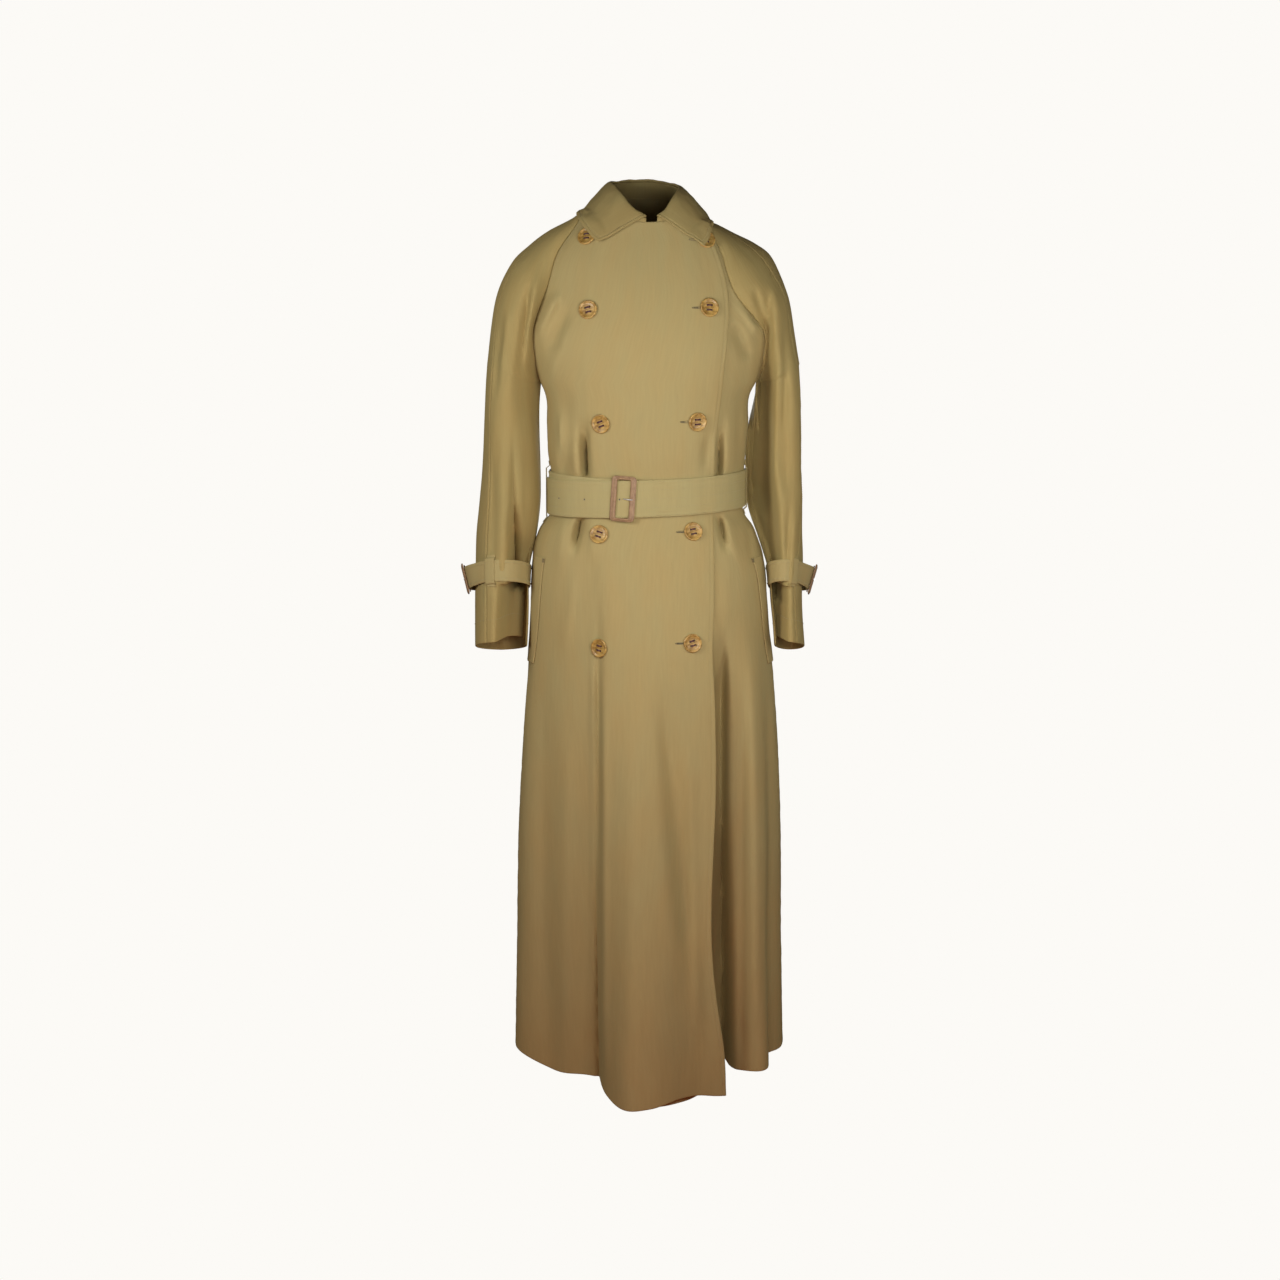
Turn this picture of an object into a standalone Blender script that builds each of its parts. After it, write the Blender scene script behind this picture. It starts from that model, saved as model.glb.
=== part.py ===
"""A double-breasted maxi trench coat, closed and belted: hollow, as it hangs when it is filled out.

Metres, +Z up. The front faces -Y, the wearer's left is +X, and the origin is the middle of the neck's base.
Each piece of cloth is a wall of even thickness on a surface worked out from the tables below.
An angle runs round the body from the centre front, 90 at the wearer's left side and 180 at the centre back.
A drop is the distance down from the neck's base. A side is +1 on the wearer's left and -1 on the right.
"""

import math

import bpy
import numpy as np
from mathutils import Vector
from mathutils.bvhtree import BVHTree

CLOTH = 0.0018
COLLAR_CLOTH = 0.0020
BELT_CLOTH = 0.0022
STRAP_CLOTH = 0.0016
LOOP_CLOTH = 0.0012
SEAM_GAP = 0.00044
LAYER_GAP = 0.0004
# What flat facets lie inside the curves they span, on gentle and on tight curves.
FACET_SAG = 0.0002
TIGHT_FACET_SAG = 0.0003

# Half the way between the two fronts where they overlap, and how much it grows towards the hem.
LAP_OFFSET = 0.0012
LAP_SPREAD = 0.0014
LAP_SPREAD_DROPS = (0.6, 1.2)

UNDERARM_DROP = 0.235
HEM_DROP = 1.27
SIDE_ANGLE = 90.0
CENTRE_NECK_DROP = 0.009
BACK_NECK_DROP = -0.030
BACK_NECK_DIP = 0.004

# The columns of facets: across the overlap, on the rest of each front, on the back and on half a sleeve. The
# overarm seam follows the sleeve's column of this number, a little to the front of the outer line.
LAP_COLUMNS = 13
RIGHT_COLUMNS = 12
LEFT_COLUMNS = 10
BACK_COLUMNS = 24
SLEEVE_COLUMNS = 7
OVERARM_COLUMN = 5
COLLAR_COLUMNS = 32

BELT_WIDTH = 0.053
BELT_RUN = 446.0
BELT_LAP_RUN = 336.0
TAIL_TAPER = 0.010
BUCKLE_ANGLE = -12.5
BUCKLE_TILT = -4.0
LOOP_WIDTH = 0.010
LOOP_END = 0.011
LOOP_BEND = 0.0045

STRAP_WIDTH = 0.031
STRAP_TOP_DROP = 0.504
STRAP_LOW_DROP = STRAP_TOP_DROP + STRAP_WIDTH
STRAP_LAP_RUN = 325.0
KEEPER_TURN = 9.0
# A strap's end stands off the sleeve at its buckle, further at the top, and sags, over this much of a turn.
STRAP_FLARE = 0.0085
STRAP_FLARE_GROWTH = 0.0085
STRAP_FLARE_TURN = 34.0
STRAP_SAG = 0.004

# A pocket's welt: its drops, its front edge's angle at the top, how far that runs back, and its width.
WELT_DROPS = (0.488, 0.505, 0.532, 0.560, 0.600, 0.640, 0.645)
WELT_ANGLE = 62.0
WELT_SLANT = 12.0
WELT_SPAN = 14.0

# The buckles' frames. The sides and rails are the widths of the frame's bars.
BELT_BUCKLE = dict(
    half_width=0.0180,
    half_height=0.0325,
    side=0.0085,
    rail=0.0052,
    thickness=0.0040,
    radius=0.006,
)
CUFF_BUCKLE = dict(
    half_width=0.0125,
    half_height=0.0225,
    side=0.0055,
    rail=0.0042,
    thickness=0.0032,
    radius=0.004,
)
BUCKLE_POST = 0.0022
PRONG_RADIUS = 0.0010

BUTTON_DIAMETER = 0.027
BUTTON_THICKNESS = 0.0032
BUTTON_SIDES = 16


def table(columns, *rows):
    """A table's columns as arrays, by name."""
    return dict(zip(columns.split(), np.array(rows, float).T))


# The body's rings. Above the underarm a ring is only partly cloth: the raglan sleeves take its sides.
BODY = table(
    "drop centre half front back squareness",
    (-0.030, -0.002, 0.072, 0.050, 0.063, 2.2),
    (0.000, -0.006, 0.104, 0.070, 0.081, 2.2),
    (0.020, -0.005, 0.126, 0.077, 0.092, 2.25),
    (0.050, -0.003, 0.154, 0.088, 0.105, 2.3),
    (0.085, -0.001, 0.169, 0.100, 0.115, 2.3),
    (0.120, 0.000, 0.1765, 0.110, 0.121, 2.3),
    (0.165, 0.000, 0.178, 0.119, 0.124, 2.3),
    (0.200, 0.000, 0.168, 0.122, 0.123, 2.3),
    (0.235, -0.001, 0.156, 0.121, 0.121, 2.3),
    (0.250, -0.002, 0.1485, 0.120, 0.120, 2.3),
    (0.300, -0.002, 0.1455, 0.114, 0.114, 2.3),
    (0.340, -0.003, 0.1425, 0.109, 0.108, 2.3),
    (0.365, -0.002, 0.1395, 0.1035, 0.1025, 2.25),
    (0.400, -0.001, 0.1385, 0.1025, 0.1015, 2.2),
    (0.426, -0.002, 0.1395, 0.1030, 0.1022, 2.2),
    (0.447, -0.003, 0.1545, 0.108, 0.109, 2.2),
    (0.465, -0.003, 0.1620, 0.113, 0.114, 2.2),
    (0.500, -0.001, 0.1695, 0.119, 0.121, 2.2),
    (0.550, 0.000, 0.1725, 0.126, 0.128, 2.2),
    (0.600, 0.001, 0.1745, 0.130, 0.133, 2.2),
    (0.640, 0.002, 0.1780, 0.132, 0.137, 2.2),
    (0.760, 0.002, 0.1875, 0.136, 0.146, 2.2),
    (0.900, 0.001, 0.1945, 0.141, 0.155, 2.2),
    (1.070, 0.000, 0.1975, 0.146, 0.163, 2.2),
    (1.270, 0.000, 0.2025, 0.150, 0.170, 2.2),
)

# The raglan seams: the share of the way from neck to underarm, and each seam's angle there. The back's angle
# is measured from the centre back. The outer columns are the line over the shoulder and down the arm.
RAGLAN = table(
    "share front back outer_x outer_y outer_drop wrap",
    (0.00, 34, 41, 0.0720, 0.000, -0.0180, -20),
    (0.04, 55, 45, 0.0900, 0.000, -0.0090, -18),
    (0.12, 54, 48, 0.1130, 0.001, 0.0030, -10),
    (0.22, 53, 50, 0.1420, 0.002, 0.0185, 0),
    (0.35, 53, 51, 0.1710, 0.003, 0.0390, 14),
    (0.48, 55, 54, 0.1940, 0.004, 0.0595, 30),
    (0.61, 61, 60, 0.2100, 0.006, 0.0860, 40),
    (0.74, 68, 66, 0.2210, 0.008, 0.1180, 50),
    (0.87, 77, 74, 0.2285, 0.010, 0.1580, 62),
    (1.00, 90, 90, 0.2335, 0.012, 0.2050, 90),
)
RAGLAN_LEFT = dict(
    RAGLAN,
    front=np.array((34, 43, 43, 40, 39, 42, 52, 67, 77, 90), float),
    back=np.array((39, 41, 43, 46, 50, 54, 60, 66, 74, 90), float),
    outer_x=np.array((0.060, 0.076, 0.101, 0.130, 0.155, 0.1735, 0.1880, 0.2005, 0.2090, 0.2145)),
    outer_y=np.array((0.0, 0.0, 0.001, 0.002, 0.003, 0.005, 0.008, 0.011, 0.014, 0.016)),
    outer_drop=np.array((-0.0170, 0.0000, 0.0125, 0.0270, 0.0395, 0.0535, 0.0780, 0.1130, 0.1600, 0.2080)),
    wrap=np.array((-20, -18, -10, -2, 6, 17, 31, 47, 62, 90), float),
)
# Below this cosine between two walls' normals they lie side by side along the seam.
CREASE_TOO_TIGHT = -0.8
UNDERARM_ROW = len(RAGLAN["share"]) - 1

# The sleeves' rings below the underarm. rise is how far the outer side stands above the middle.
SLEEVE_RIGHT = table(
    "drop inner_x outer_x y depth yaw tilt rise",
    (0.220, 0.1570, 0.2340, 0.007, 0.080, 4, 0, 0.015),
    (0.265, 0.1600, 0.2375, 0.009, 0.079, 4, 1, 0.006),
    (0.310, 0.1610, 0.2392, 0.011, 0.077, 4, 2, 0.000),
    (0.360, 0.1605, 0.2420, 0.010, 0.074, 2, 4, 0.000),
    (0.410, 0.1600, 0.2470, 0.003, 0.071, 0, 8, 0.000),
    (0.460, 0.1660, 0.2520, 0.000, 0.069, -2, 11, 0.000),
    (0.505, 0.1757, 0.2535, -0.005, 0.066, -4, 13, 0.000),
    (0.560, 0.1775, 0.2545, -0.0178, 0.063, -6, 13, 0.000),
    (0.620, 0.1795, 0.2540, -0.0318, 0.060, -6, 13, 0.000),
)
SLEEVE_LEFT = table(
    "drop inner_x outer_x y depth yaw tilt rise",
    (0.220, 0.1550, 0.2155, 0.009, 0.080, 8, 0, 0.014),
    (0.265, 0.1500, 0.2180, 0.011, 0.078, 14, 1, 0.006),
    (0.310, 0.1455, 0.2190, 0.015, 0.076, 19, 2, 0.000),
    (0.360, 0.1440, 0.2200, 0.016, 0.073, 21, 4, 0.000),
    (0.410, 0.1470, 0.2220, 0.008, 0.070, 18, 8, 0.000),
    (0.460, 0.1625, 0.2230, 0.003, 0.068, 9, 11, 0.000),
    (0.505, 0.1750, 0.2255, -0.003, 0.066, -3, 13, 0.000),
    (0.560, 0.1790, 0.2245, -0.0157, 0.063, -6, 13, 0.000),
    (0.620, 0.1840, 0.2275, -0.0295, 0.060, -6, 13, 0.000),
)

# The drops of the rows of facets below the underarm.
SLEEVE_DROPS = (
    (0.240, 0.265, 0.295, 0.330, 0.370, 0.410, 0.450, 0.482)
    + (STRAP_TOP_DROP, STRAP_LOW_DROP)
    + (0.570, 0.600, 0.620)
)
BODY_DROPS = (
    (0.235, 0.247, 0.275, 0.310, 0.345, 0.370, 0.397, 0.427, 0.447, 0.470)
    + (0.505, 0.560, 0.640, 0.740, 0.850, 0.960, 1.070, 1.170, 1.270)
)

# The x of the top front's free edge, and of the under front's, down the coat.
LAP_EDGE = table(
    "drop x",
    (0.000, 0.0520),
    (0.011, 0.0740),
    (0.028, 0.0870),
    (0.055, 0.0980),
    (0.085, 0.1070),
    (0.115, 0.1120),
    (0.165, 0.1110),
    (0.212, 0.1060),
    (0.253, 0.1020),
    (0.284, 0.0985),
    (0.358, 0.0930),
    (0.560, 0.0925),
    (0.615, 0.0905),
    (0.685, 0.0937),
    (0.760, 0.0955),
    (1.100, 0.0950),
    (1.140, 0.0995),
    (1.200, 0.1080),
    (1.270, 0.1115),
)
UNDER_EDGE = table(
    "drop x",
    (0.002, -0.0540),
    (0.050, -0.0680),
    (0.100, -0.0750),
    (0.430, -0.0720),
    (1.270, -0.0660),
)

# How far down the hem hangs, by angle.
HEM_RIGHT = table(
    "angle drop",
    (-90, 1.229),
    (-76, 1.238),
    (-62, 1.250),
    (-28, 1.253),
    (-18, 1.258),
    (-8, 1.270),
    (0, 1.268),
    (8, 1.262),
    (17, 1.262),
    (26, 1.267),
    (40, 1.270),
)
HEM_LEFT = table(
    "angle drop",
    (-30, 1.254),
    (-8, 1.264),
    (26, 1.260),
    (34, 1.247),
    (44, 1.243),
    (58, 1.239),
    (72, 1.232),
    (90, 1.227),
)
HEM_BACK = table(
    "angle drop",
    (90, 1.227),
    (108, 1.238),
    (135, 1.253),
    (180, 1.262),
    (225, 1.253),
    (252, 1.239),
    (270, 1.229),
)

# The largest folds: ridges stand out and valleys go in. A fold runs from its top to its low end and is
# full size there (growth > 0), or it is full in the middle and dies at both ends (growth 0).
FOLDS = table(
    "under_only top_angle low_angle top_drop low_drop width_minus width_plus depth growth",
    (0, -3, -4, 0.560, 1.270, 9, 15, 0.050, 1.3),
    (0, -28, -24, 0.425, 1.270, 25, 6.5, -0.050, 1.0),
    (0, 8, 21, 0.620, 1.240, 6, 7, -0.014, 0.0),
    (0, -58, -60, 0.450, 1.270, 17, 19, -0.034, 1.0),
    (0, -38, -40, 0.270, 0.372, 5, 5, -0.008, 0.0),
    (0, -52, -52, 0.250, 0.368, 6, 6, 0.006, 0.0),
    (0, 34, 33, 0.290, 0.372, 4, 4, -0.006, 0.0),
    (1, 37.5, 36, 0.560, 1.270, 12, 10, -0.064, 0.9),
    (1, 52, 50, 0.600, 1.270, 6, 10, 0.014, 1.0),
    (1, 68, 70, 0.560, 1.270, 9, 9, -0.020, 1.0),
    (0, 118, 115, 0.460, 1.270, 11, 11, -0.030, 1.0),
    (0, 140, 138, 0.480, 1.270, 10, 10, 0.018, 1.0),
    (0, 163, 165, 0.440, 1.270, 9, 9, -0.028, 1.0),
    (0, 183, 184, 0.500, 1.270, 9, 9, 0.020, 1.0),
    (0, 207, 209, 0.450, 1.270, 10, 10, -0.032, 1.0),
    (0, 228, 230, 0.520, 1.270, 9, 9, 0.016, 1.0),
    (0, 248, 250, 0.480, 1.270, 9, 9, -0.022, 1.0),
    (0, 150, 148, 0.270, 0.374, 7, 7, -0.007, 0.0),
    (0, 208, 210, 0.270, 0.374, 7, 7, -0.007, 0.0),
)

# The collar, from the wearer's right leaf round the back to the left one: the roll line it folds along,
# and its outer edge. The first and last rows run down the leaves' front edges.
COLLAR = table(
    "turn roll_x roll_y roll_z edge_x edge_y edge_z",
    (0.00, -0.0042, -0.0725, -0.0035, -0.0705, -0.084, -0.0384),
    (0.05, -0.0180, -0.0700, 0.0050, -0.0790, -0.078, -0.0310),
    (0.12, -0.0360, -0.0570, 0.0240, -0.0875, -0.066, -0.0194),
    (0.20, -0.0485, -0.0330, 0.0405, -0.0950, -0.040, -0.0030),
    (0.28, -0.0532, -0.0020, 0.0470, -0.0965, -0.006, 0.0052),
    (0.36, -0.0475, 0.0300, 0.0495, -0.0880, 0.040, 0.0045),
    (0.43, -0.0310, 0.0500, 0.0520, -0.0600, 0.078, 0.0000),
    (0.50, -0.0040, 0.0560, 0.0530, 0.0000, 0.094, -0.0020),
    (0.57, 0.0210, 0.0500, 0.0505, 0.0590, 0.078, -0.0010),
    (0.64, 0.0370, 0.0300, 0.0450, 0.0815, 0.040, 0.0005),
    (0.72, 0.0425, -0.0020, 0.0400, 0.0862, -0.006, -0.0025),
    (0.80, 0.0405, -0.0330, 0.0350, 0.0868, -0.040, -0.0090),
    (0.88, 0.0330, -0.0570, 0.0210, 0.0850, -0.066, -0.0220),
    (0.95, 0.0220, -0.0690, 0.0050, 0.0815, -0.078, -0.0360),
    (1.00, 0.0113, -0.0725, -0.0030, 0.0747, -0.084, -0.0439),
)
# How far the collar lies off the cloth under it, and off it over a button.
COLLAR_REST = 0.0014
COLLAR_LIFT = 0.0046
COLLAR_ROLL = 0.0022
COLLAR_SHARES = (0.0, 0.05, 0.12, 0.28, 0.50, 0.75, 1.0)

# The belt: how far round it has run from the buckle, and the drop of its middle there.
BELT = table(
    "run drop",
    (0, 0.3975),
    (70, 0.391),
    (180, 0.390),
    (290, 0.391),
    (325, 0.396),
    (354, 0.3985),
    (380, 0.4000),
    (450, 0.401),
)
LOOPS = table(
    "side whole_turns shift reach",
    (-1, 1, 0.005, 0.0345),
    (1, 0, 0.0, 0.0290),
)
# The belt stands upright on the furthest cloth in this band of drops.
WAIST_DROP = 0.400
WAIST_BAND = np.linspace(0.361, 0.4275, 8)

BUTTONS = table(
    "x_right x_left drop_right drop_left",
    (-0.0880, 0.0800, 0.0295, 0.0340),
    (-0.0857, 0.0843, 0.1320, 0.1290),
    (-0.0679, 0.0679, 0.2917, 0.2889),
    (-0.0710, 0.0625, 0.4500, 0.4460),
    (-0.0687, 0.0615, 0.6110, 0.6030),
)


def smooth(xs, ys, x):
    """A smooth curve through the points (xs, ys), read at x. xs rise, and it is level beyond its ends."""
    x = np.clip(x, xs[0], xs[-1])
    slopes = np.gradient(ys, xs)
    i = np.clip(np.searchsorted(xs, x) - 1, 0, len(xs) - 2)
    step = xs[i + 1] - xs[i]
    t = (x - xs[i]) / step
    return (
        ys[i] * (1 + 2 * t) * (1 - t) ** 2
        + slopes[i] * step * t * (1 - t) ** 2
        + ys[i + 1] * t**2 * (3 - 2 * t)
        + slopes[i + 1] * step * t**2 * (t - 1)
    )


def read(rows, key, name, x):
    return smooth(rows[key], rows[name], x)


def eased(t):
    """0 below 0, 1 above 1, and smooth between."""
    t = np.clip(t, 0, 1)
    return t * t * (3 - 2 * t)


def signed_power(value, power):
    return np.sign(value) * np.abs(value) ** power


def unit(vectors):
    return vectors / np.maximum(np.linalg.norm(vectors, axis=-1, keepdims=True), 1e-12)


# The body


def angle_at(x, drop):
    """The front angle at which the body's ring at this drop has this x."""
    share = (x - read(BODY, "drop", "centre", drop)) / read(BODY, "drop", "half", drop)
    squareness = read(BODY, "drop", "squareness", drop)
    return np.degrees(np.arcsin(np.clip(signed_power(share, squareness / 2), -1, 1)))


def fold_offset(angle, drop, layer):
    total = np.zeros(np.broadcast(angle, drop).shape)
    for fold in zip(*FOLDS.values()):
        under_only, top_angle, low_angle, top, low, width_minus, width_plus, depth, growth = fold
        if under_only and layer != "under":
            continue
        share = np.clip((drop - top) / (low - top), 0, 1)
        if growth:
            size = depth * share**growth
        else:
            size = depth * np.sin(np.pi * share) ** 2
        away = (angle - top_angle - (low_angle - top_angle) * share + 180) % 360 - 180
        width = np.where(away < 0, width_minus, width_plus)
        total = total + size * np.exp(-((away / width) ** 2))
    return total


def lap_offset(angle, drop, layer):
    """The fronts part where they overlap: the top one outwards, the under one inwards."""
    from_drop, to_drop = LAP_SPREAD_DROPS
    offset = LAP_OFFSET + LAP_SPREAD * eased((drop - from_drop) / (to_drop - from_drop))
    reach, ramp = 10, 8
    if layer == "top":
        return offset * eased((angle - angle_at(read(UNDER_EDGE, "drop", "x", drop), drop) + reach) / ramp)
    if layer == "under":
        return -offset * eased((angle_at(read(LAP_EDGE, "drop", "x", drop), drop) + reach - angle) / ramp)
    return 0.0


def body(angle, drop, layer=None):
    """A point of the body's surface. The under front has folds of its own."""
    squareness = read(BODY, "drop", "squareness", drop)
    half = read(BODY, "drop", "half", drop)
    sin, cos = np.sin(np.radians(angle)), np.cos(np.radians(angle))
    depth = np.where(cos > 0, read(BODY, "drop", "front", drop), read(BODY, "drop", "back", drop))
    x = read(BODY, "drop", "centre", drop) + half * signed_power(sin, 2 / squareness)
    y = -depth * signed_power(cos, 2 / squareness)
    out = unit(np.stack([depth * sin, -half * cos], -1))
    push = fold_offset(angle, drop, layer)
    return np.stack([x + out[..., 0] * push, y + out[..., 1] * push, -drop], -1)


def body_normal(angle, drop, layer=None):
    step_angle, step_drop = 0.4, 0.001
    along = body(angle + step_angle, drop, layer) - body(angle - step_angle, drop, layer)
    down = body(angle, drop + step_drop, layer) - body(angle, drop - step_drop, layer)
    return unit(np.cross(down, along))


# Walls


def new_object(name, points, faces, material):
    mesh = bpy.data.meshes.new(name)
    mesh.from_pydata([tuple(point) for point in points], [], faces)
    mesh.materials.append(material)
    mesh.shade_smooth()
    mesh.set_sharp_from_angle(angle=math.radians(50))
    piece = bpy.data.objects.new(name, mesh)
    bpy.context.scene.collection.objects.link(piece)
    return piece


def grid_normals(points, closed=False):
    """Normals of a grid whose columns run counterclockwise from above. A closed grid's ends meet."""
    if closed:
        wide = np.concatenate([points[:, -2:-1], points, points[:, 1:2]], 1)
        along = (wide[:, 2:] - wide[:, :-2])
    else:
        along = np.gradient(points, axis=1)
    return unit(np.cross(np.gradient(points, axis=0), along))


def inset(points, normals, edges):
    """The grid with these edges moved in by half a seam's gap, or more where the seam is a crease."""
    points = points.copy()
    own = grid_normals(points)
    moved = {
        "first_column": (np.s_[:, 0], np.s_[:, 1]),
        "last_column": (np.s_[:, -1], np.s_[:, -2]),
        "first_row": (np.s_[0], np.s_[1]),
        "last_row": (np.s_[-1], np.s_[-2]),
    }
    for edge in edges:
        place, neighbour = moved[edge]
        run = unit(np.gradient(points[place], axis=0))
        inward = points[neighbour] - points[place]
        inward = inward - run * (inward * run).sum(-1, keepdims=True)
        open_share = np.abs((own[place] * normals[place]).sum(-1, keepdims=True))
        points[place] = points[place] + unit(inward) * SEAM_GAP / 2 / np.clip(open_share, 0.3, 1)
    return points


def facets(rows, columns):
    """A grid's triangles. A wall's two sides, and walls on one grid, bend along one diagonal."""
    index = np.arange(rows * columns).reshape(rows, columns)
    a, b, c, d = index[:-1, :-1], index[1:, :-1], index[1:, 1:], index[:-1, 1:]
    return np.concatenate([np.stack([a, b, c], -1).reshape(-1, 3), np.stack([a, c, d], -1).reshape(-1, 3)])


def wall(name, points, normals, thickness, material, edges=()):
    """A closed wall on both sides of a grid of points."""
    points = inset(points, normals, edges)
    rows, columns = points.shape[:2]
    outer = (points + normals * thickness / 2).reshape(-1, 3)
    inner = (points - normals * thickness / 2).reshape(-1, 3)
    index = np.arange(rows * columns).reshape(rows, columns)
    sheet = facets(rows, columns)
    rim = np.concatenate([index[:, 0], index[-1, 1:], index[-2::-1, -1], index[0, -2:0:-1]])
    following = np.roll(rim, -1)
    shift = rows * columns
    rims = [
        np.stack([rim, rim + shift, following + shift], -1),
        np.stack([rim, following + shift, following], -1),
    ]
    faces = np.concatenate([sheet, sheet[:, ::-1] + shift, *rims])
    corners = outer[sheet]
    face_normals = np.cross(corners[:, 1] - corners[:, 0], corners[:, 2] - corners[:, 0])
    if (face_normals * normals.reshape(-1, 3)[sheet[:, 0]]).sum() < 0:
        faces = faces[:, ::-1]
    return new_object(name, np.concatenate([outer, inner]), faces.tolist(), material)


def surface_tree(grids):
    """A search tree of these grids' facets."""
    points, faces = [], []
    for grid in grids:
        faces += (facets(*grid.shape[:2]) + len(points)).tolist()
        points += [Vector(point) for point in grid.reshape(-1, 3)]
    return BVHTree.FromPolygons(points, faces)


def nearest(tree, point):
    found = tree.find_nearest(Vector(point))
    return np.array(found[0])


def raised(tree, point, clearance):
    """The point, moved up and out from the neck's axis until it is this far from the cloth under it."""
    way = unit(unit(point * (1, 1, 0)) + np.array((0, 0, 0.5)))
    found, normal, _, _ = tree.ray_cast(Vector(point + way * 0.15), Vector(-way), 0.25)
    if found is None:
        return point
    needed = clearance / max(abs(np.array(normal) @ way), 0.4)
    height = (point - np.array(found)) @ way
    return point + way * max(needed - height, 0)


# Body panels


def spread(from_angles, to_angles, columns):
    """Each row's angles, evenly from the one where it starts to the one where it ends."""
    return from_angles[:, None] + (to_angles - from_angles)[:, None] * np.linspace(0, 1, columns + 1)


def panel(layer, angles, top_drop, hem):
    """A body panel's middle surface and its normals, from each row's angles."""
    lower = np.array(BODY_DROPS[1:])
    hang = ((lower - UNDERARM_DROP) / (HEM_DROP - UNDERARM_DROP)) ** 3
    top = top_drop(angles[0])
    upper_drops = top + (UNDERARM_DROP - top) * RAGLAN["share"][:, None]
    low_angles = angles[UNDERARM_ROW + 1 :]
    lower_drops = lower[:, None] + (smooth(hem["angle"], hem["drop"], low_angles) - HEM_DROP) * hang[:, None]
    drops = np.concatenate([upper_drops, lower_drops])
    normals = body_normal(angles, drops, layer)
    points = body(angles, drops, layer) + normals * np.asarray(lap_offset(angles, drops, layer))[..., None]
    return points, normals


def seam_rows(upper_angles):
    return np.concatenate([upper_angles, np.full(len(BODY_DROPS) - 1, SIDE_ANGLE)])


def make_panels():
    """The three body panels' middle surfaces and normals, by name."""
    drops = np.concatenate([UNDERARM_DROP * RAGLAN["share"], BODY_DROPS[1:]])
    lap_angles = angle_at(read(LAP_EDGE, "drop", "x", drops), drops)
    under_angles = angle_at(read(UNDER_EDGE, "drop", "x", drops), drops)
    right_seam, left_seam = seam_rows(RAGLAN["front"]), seam_rows(RAGLAN_LEFT["front"])
    back_left, back_right = 180 - seam_rows(RAGLAN_LEFT["back"]), 180 + seam_rows(RAGLAN["back"])

    def front_top(angle):
        seam = np.where(angle < 0, right_seam[0], left_seam[0])
        return CENTRE_NECK_DROP * (1 - (angle / seam) ** 2)

    def back_top(angle):
        return BACK_NECK_DROP + BACK_NECK_DIP * ((angle - 180) / RAGLAN["back"][0]) ** 2

    lap = spread(under_angles, lap_angles, LAP_COLUMNS)
    own_right = spread(-right_seam, under_angles, RIGHT_COLUMNS)
    own_left = spread(lap_angles, left_seam, LEFT_COLUMNS)
    return {
        "front_right": panel("top", np.hstack([own_right, lap[:, 1:]]), front_top, HEM_RIGHT),
        "front_left": panel("under", np.hstack([lap, own_left[:, 1:]]), front_top, HEM_LEFT),
        "back": panel(None, spread(back_left, back_right, BACK_COLUMNS), back_top, HEM_BACK),
    }


# Sleeves


def across_share(turn, pointed):
    """How far across a sleeve's ring this turn is: -1 at the inner line, 1 at the outer one."""
    turn = (turn + math.pi / 2) % (2 * math.pi) - math.pi / 2
    inner = np.where(turn > math.pi / 2, math.pi - turn, turn) / (math.pi / 2)
    return np.where(np.sin(turn) < 0, inner * pointed + np.sin(turn) * (1 - pointed), np.sin(turn))


def open_rows(side, front, back, raglan, columns):
    """The rows of a sleeve from the neck to the underarm: arcs from the front seam to the back one."""
    rows = []
    for i in range(UNDERARM_ROW + 1):
        middle = (front[i] + back[i]) / 2
        outer = np.array([side * raglan["outer_x"][i], raglan["outer_y"][i], -raglan["outer_drop"][i]])
        wrap = math.radians(raglan["wrap"][i])
        across = (outer - middle) / (1 - across_share(-wrap, 1.0))
        if i < UNDERARM_ROW:
            ahead = (front[i] - back[i]) / (2 * math.cos(wrap))
        else:
            low = SLEEVE_LEFT if side > 0 else SLEEVE_RIGHT
            yaw = math.radians(low["yaw"][0])
            ahead = low["depth"][0] * np.array([side * math.sin(yaw), -math.cos(yaw), 0])
        front_turn = np.linspace(-wrap, math.pi / 2, columns + 1)
        back_turn = np.linspace(math.pi / 2, math.pi + wrap, columns + 1)
        turn = np.concatenate([front_turn, back_turn[1:]])[:, None]
        rows.append(outer - across + ahead * np.cos(turn) + across * across_share(turn, 1.0))
    return np.array(rows)


def closed_rows(side, low, drops, columns):
    """The rows of a sleeve below the underarm: whole rings."""
    turn = np.radians(np.linspace(-90, 270, 2 * columns + 1))
    rows = []
    for drop in drops:
        inner, outer, y, depth, yaw, tilt, rise = (read(low, "drop", name, drop) for name in list(low)[1:])
        yaw, tilt = math.radians(yaw), math.radians(tilt)
        half = (outer - inner) / 2
        width = math.sqrt(half**2 - (depth * math.sin(yaw)) ** 2) / math.cos(yaw)
        share = across_share(turn, 1 - eased((drop - UNDERARM_DROP) / 0.1))
        x = (inner + outer) / 2 + width * math.cos(yaw) * share + depth * math.sin(yaw) * np.cos(turn)
        ahead = depth * math.cos(yaw) * np.cos(turn) - width * math.sin(yaw) * share
        z = -drop + ahead * math.tan(tilt) + rise * share
        rows.append(np.stack([side * x, y - ahead, z], -1))
    return np.array(rows)


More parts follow.
